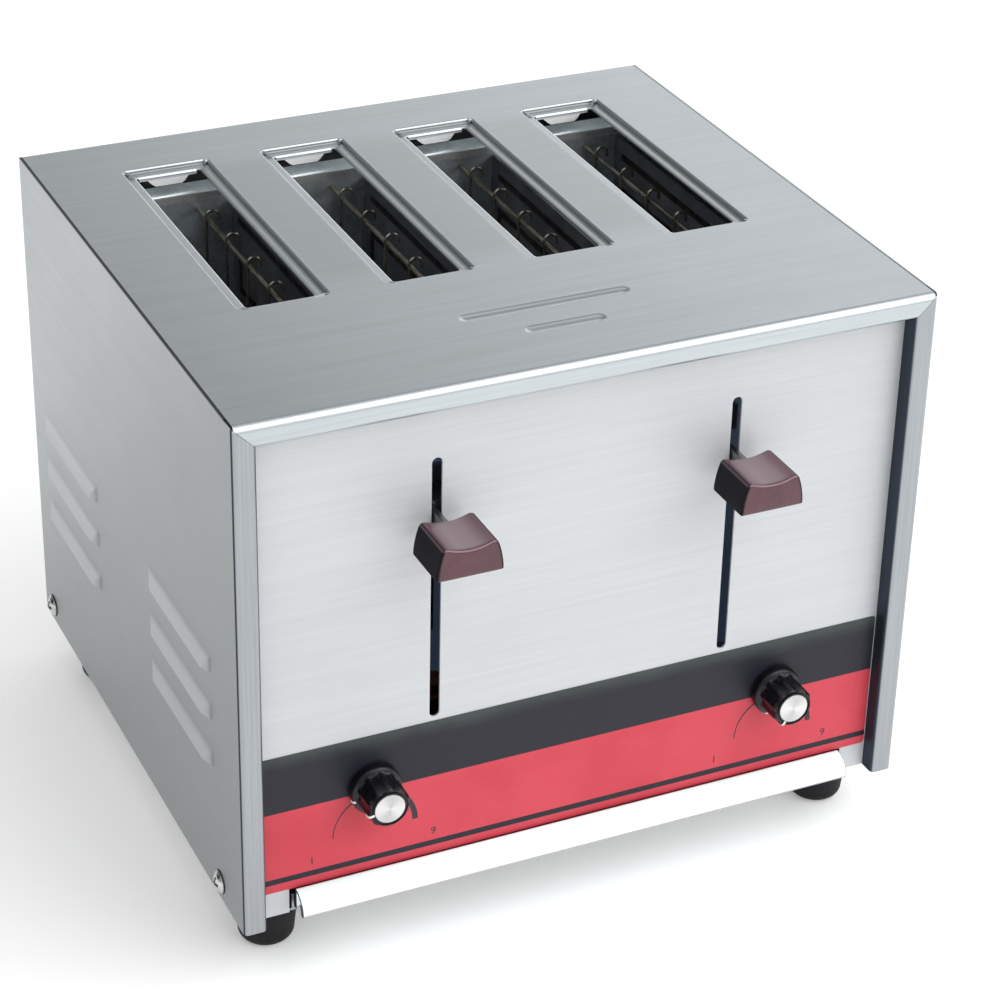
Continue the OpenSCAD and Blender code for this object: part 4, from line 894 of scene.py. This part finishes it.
# Dials: a lobed moulding on a skirt, a spun cap, and a white pointer with its tick
dialSize = {"count": 120, "lobes": {"count": 10, "depth": 0.95, "power": 0.8, "turn": 0.0},
            "pointers": {"left": 195.0, "right": 240.0},
            "rings": [(7.6, -126.5), (7.6, -121.5), (10.8, -121.5), (11.15, -121.8), (11.2, -122.4),
                      (11.2, -124.4), (11.05, -125.2), (10.6, -125.8), (10.0, -126.05), (9.55, -126.3),
                      (9.6, -126.9, 1.0), (9.55, -131.0, 1.0), (9.45, -136.4, 1.0), (9.3, -137.3, 1.0),
                      (9.0, -137.95, 1.0), (8.55, -138.35, 0.7), (8.1, -138.5, 0.25), (7.05, -138.5, 0.0),
                      (6.7, -138.3, 0.0), (6.66, -138.0, 0.0), (3.0, -138.0, 0.0)],
            "line": [(6.85, -138.56), (8.2, -138.56), (8.62, -138.4), (9.06, -138.02), (9.36, -137.36),
                     (9.5, -136.5), (9.54, -135.6)],
            "tick": [(10.1, -126.1), (10.66, -125.86), (11.1, -125.24), (11.26, -124.3), (11.26, -123.4)],
            "lineHalf": 0.55, "tickHalf": 0.6, "start": 0.2, "paint": 0.25, "paintEdge": 0.05}
capSize = {"rim": [(5.8, -138.0), (6.6, -138.0), (6.6, -138.6), (6.5, -138.82), (6.3, -138.9)],
           "count": 64, "first": 6.1, "pitch": 0.2, "rings": 29, "heights": (-138.87, -138.9)}
capRings = capSize["rim"] + [(capSize["first"] - capSize["pitch"] * k, capSize["heights"][k % 2])
                             for k in range(capSize["rings"])]


# a strip laid along an outline of (radius, y) points, at an angle round the dial's axis
def strip(name, axis, outline, half, angle):
    letGo()
    radius, y = outline[0]
    bpy.ops.mesh.primitive_plane_add(size=1, location=(radius * mm, y * mm, 0))
    piece = named(name)
    piece.rotation_euler = upright
    piece.scale = (dialSize["start"] * mm, 2 * half * mm, 1)
    settle(piece)
    openUp(piece)
    pick(piece, "EDGE", lambda middle, along: middle.x > radius * mm and abs(along.z) > 0.9)
    for newRadius, newY in outline[1:]:
        bpy.ops.mesh.extrude_region_move(
            TRANSFORM_OT_translate={"value": ((newRadius - radius) * mm, (newY - y) * mm, 0)})
        radius, y = newRadius, newY
    letGo()
    finishWith(piece, "SOLIDIFY", thickness=dialSize["paint"] * mm, offset=-1.0)
    finishWith(piece, "BEVEL", width=dialSize["paintEdge"] * mm, segments=1, limit_method="ANGLE")
    # the strip turns about Y from the right-hand side, then goes to its axis
    piece.matrix_world = (Matrix.Translation((axis[0] * mm, 0, axis[1] * mm))
                          @ Matrix.Rotation(math.radians(-angle), 4, "Y"))
    settle(piece)
    evenNormals(piece)
    smooth(piece, 40)
    return piece


for side, axis in dialAxes.items():
    pointer = dialSize["pointers"][side]
    body = side + "_dial"
    knob = turned(side + "_dial_moulding", axis, dialSize["rings"], dialSize["count"],
                  dict(dialSize["lobes"], turn=pointer))
    smooth(knob, 38)
    handOver(knob, body, finishes["black_moulding"], [side + "_dial_knob"])
    cap = turned(side + "_spun_cap", axis, capRings, capSize["count"])
    smooth(cap, 40)
    handOver(cap, body, spunCaps[side], [side + "_dial_cap"])
    for name, mark in (("_pointer_line", "line"), ("_skirt_tick", "tick")):
        paint = strip(side + name, axis, dialSize[mark], dialSize[mark + "Half"], pointer)
        handOver(paint, body, whitePaint)
print("dials: 2, with caps, pointers and ticks")

# Print on the film: an arch that grows thicker towards its end, and a digit at each end
printSize = {"face": -120.8, "proud": 0.05, "archRadius": 17.5, "archDrop": 22.0, "archCount": 128,
             "thin": 0.4, "thick": 2.4, "digitX": 27.0, "digitDrop": 30.5, "digitHeight": 3.6,
             "letterScale": 1.4, "first": "1", "last": "9"}


def arch(name, axis, size):
    letGo()
    centre = Vector((axis[0] * mm, size["face"] * mm, (axis[1] - size["archDrop"]) * mm))
    bpy.ops.mesh.primitive_circle_add(vertices=size["archCount"], radius=size["archRadius"] * mm,
                                      fill_type="NOTHING", location=centre, rotation=upright)
    piece = settle(named(name))
    openUp(piece)
    pick(piece, "VERT", lambda point: point.z < centre.z - 1e-6)
    bpy.ops.mesh.delete(type="VERT")
    pickAll()
    bpy.ops.mesh.extrude_region_move(TRANSFORM_OT_translate={"value": (0, 0, 0)})
    middle = (size["thin"] + size["thick"]) / 2
    grow = 1 + middle / size["archRadius"]
    bpy.ops.transform.resize(value=(grow, 1, grow), center_override=centre)
    bpy.ops.transform.translate(value=((size["thick"] - size["thin"]) / 2 * mm, 0, 0))
    letGo()
    finishWith(piece, "SOLIDIFY", thickness=2 * size["proud"] * mm, offset=0.0)
    evenNormals(piece)
    return piece


def digit(name, axis, side, body, size):
    letGo()
    bpy.ops.object.text_add(radius=size["digitHeight"] * size["letterScale"] * mm)
    piece = bpy.context.active_object
    piece.data.body = body
    piece.data.align_x = "CENTER"
    piece.data.align_y = "CENTER"
    piece.data.extrude = size["proud"] * mm
    bpy.ops.object.convert(target="MESH")
    piece = named(name)
    piece.location = ((axis[0] + side * size["digitX"]) * mm, size["face"] * mm,
                      (axis[1] - size["digitDrop"]) * mm)
    piece.rotation_euler = upright
    settle(piece)
    openUp(piece)
    pickAll()
    bpy.ops.mesh.remove_doubles(threshold=1e-6)
    letGo()
    return piece


for side, axis in dialAxes.items():
    handOver(arch(side + "_arch_mark", axis, printSize), "casing", darkInk)
    for name, way, body in (("_low_digit", -1, "first"), ("_high_digit", 1, "last")):
        ink = digit(side + name, axis, way, printSize[body], printSize)
        handOver(ink, "casing", darkInk)
print("print: 2 arches, 4 digits")

# Return springs: wound wire from the carriage's ear to the bar
springSize = {"wire": 0.7, "radius": 4.6, "turns": 12, "perTurn": 20, "low": footZ + 156.0,
              "high": footZ + 214.0, "stub": 2.8, "fade": 14}


def returnSpring(name, x, y, size):
    steps = size["turns"] * size["perTurn"]
    climb = (size["high"] - size["low"] - 2 * size["stub"]) * mm
    route = [(x, y, size["low"] * mm)]
    for k in range(steps + 1):
        share = min(1, k / size["fade"], (steps - k) / size["fade"])
        turn = 2 * math.pi * k / size["perTurn"]
        route.append((x + size["radius"] * mm * share * math.cos(turn),
                      y + size["radius"] * mm * share * math.sin(turn),
                      (size["low"] + size["stub"]) * mm + climb * k / steps))
    route.append((x, y, size["high"] * mm))
    letGo()
    bpy.ops.curve.primitive_nurbs_path_add()
    wire = bpy.context.active_object
    wire.data.splines.clear()
    line = wire.data.splines.new("POLY")
    line.points.add(len(route) - 1)
    for point, place in zip(line.points, route):
        point.co = (*place, 1.0)
    wire.location = (0, 0, 0)
    wire.data.bevel_depth = size["wire"] * mm
    wire.data.bevel_resolution = 3
    wire.data.use_fill_caps = True
    bpy.ops.object.convert(target="MESH")
    piece = settle(named(name))
    smooth(piece, 60)
    return piece


for side in dialAxes:
    node = side + "_return_spring"
    low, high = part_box(node)
    x, y = (low.x + high.x) / 2, (low.y + high.y) / 2
    piece = returnSpring(side + "_wound_spring", x, y, springSize)
    piece.data.materials.clear()
    piece.data.materials.append(finishes["spring_steel"])
    side + "_lift"
    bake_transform(piece)
    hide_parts(node)
print("springs: 2")

# Floor, light and camera
studio = {"floor": 12.0, "floorLight": grey(0.94), "floorDark": grey(0.92), "floorGlow": 0.25,
          "sky": 0.95, "backDark": 0.25, "backLight": 1.32, "glow": (-0.36, 0.05), "behind": (0.0, 0.5),
          "overhead": (0.95, 0.65), "shade": (0.25, 0.9), "shadeTop": (0.85, 0.35), "shadeDepth": 0.55,
          "key": {"place": (1.1, -1.25, 1.9), "aim": (0, 0, 0.12), "size": 2.8, "power": 33.0}}


def floorFinish():
    material, sock, shader = newFinish("paleFloor", {"Emission Color": (1, 1, 1, 1),
                                                     "Emission Strength": studio["floorGlow"]})
    cloud = speckle(sock, 1.4, 4.0)
    tooth = speckle(sock, 240, 3.0)
    sock.feed(shader, {"Base Color": tinted(cloud, studio["floorDark"], studio["floorLight"]),
                       "Roughness": 0.62 + tooth * 0.2})
    return material


letGo()
bpy.ops.mesh.primitive_plane_add(size=studio["floor"], location=(0, 0, 0))
floor = named("floor")
floor.data.materials.append(floorFinish())

world = bpy.data.worlds.new("studioSky")
bpy.context.scene.world = world
world.use_nodes = True
sky = Sock(world.node_tree)
way = sky.make("ShaderNodeTexCoord", out="Generated")
wayX, wayY, wayZ = sky.make("ShaderNodeSeparateXYZ", values={0: way}, out=(0, 1, 2))
# the sky behind grows lighter to the right, and the front's left is darker
glow = rise(wayX - wayZ * 1.2, *studio["glow"])
behind = rise(wayY, *studio["behind"]) * rise(wayZ, *studio["overhead"])
shade = rise(-wayX - wayY * 0.6, *studio["shade"]) * rise(wayZ, *studio["shadeTop"])
backLevel = glow * (studio["backLight"] - studio["backDark"]) + studio["backDark"]
level = studio["sky"] - behind * (studio["sky"] - backLevel) - shade * studio["shadeDepth"]
backdrop = world.node_tree.nodes["Background"]
backdrop.inputs["Color"].default_value = (1, 1, 1, 1)
sky.feed(backdrop, {"Strength": level})


def lamp(name, setup):
    letGo()
    bpy.ops.object.light_add(type="AREA", location=setup["place"])
    light = bpy.context.active_object
    light.name = name
    light.data.shape = "DISK"
    light.data.size = setup["size"]
    light.data.energy = setup["power"]
    aim = Vector(setup["aim"]) - Vector(setup["place"])
    light.rotation_euler = aim.to_track_quat("-Z", "Y").to_euler()


lamp("keyLamp", studio["key"])

photoView = {"target": (21.8, 9.5, footZ + 118.8), "azimuth": -25.21, "elevation": 28.80, "roll": 1.35,
             "distance": 1296.3, "focal": 2904.9, "image": 1000, "sensor": 36.0, "shift": -0.05,
             "clip": 50}


def photoCamera(view):
    azimuth, elevation, roll = (math.radians(view[key]) for key in ("azimuth", "elevation", "roll"))
    back = Vector((math.sin(azimuth) * math.cos(elevation), -math.cos(azimuth) * math.cos(elevation),
                   math.sin(elevation)))
    right = Vector((math.cos(azimuth), math.sin(azimuth), 0))
    up = back.cross(right)
    leanRight = right * math.cos(roll) + up * math.sin(roll)
    leanUp = up * math.cos(roll) - right * math.sin(roll)
    letGo()
    bpy.ops.object.camera_add()
    camera = bpy.context.active_object
    turn = Matrix((leanRight, leanUp, back)).transposed().to_4x4()
    place = Vector(view["target"]) * mm + back * view["distance"] * mm
    camera.matrix_world = Matrix.Translation(place) @ turn
    camera.data.sensor_width = view["sensor"]
    camera.data.lens = view["focal"] / view["image"] * view["sensor"]
    camera.data.shift_y = view["shift"]
    camera.data.clip_end = view["clip"]
    bpy.context.scene.camera = camera


photoCamera(photoView)
bpy.context.scene.view_settings.view_transform = "Standard"
print("studio: floor, sky, lamp, camera")

letGo()
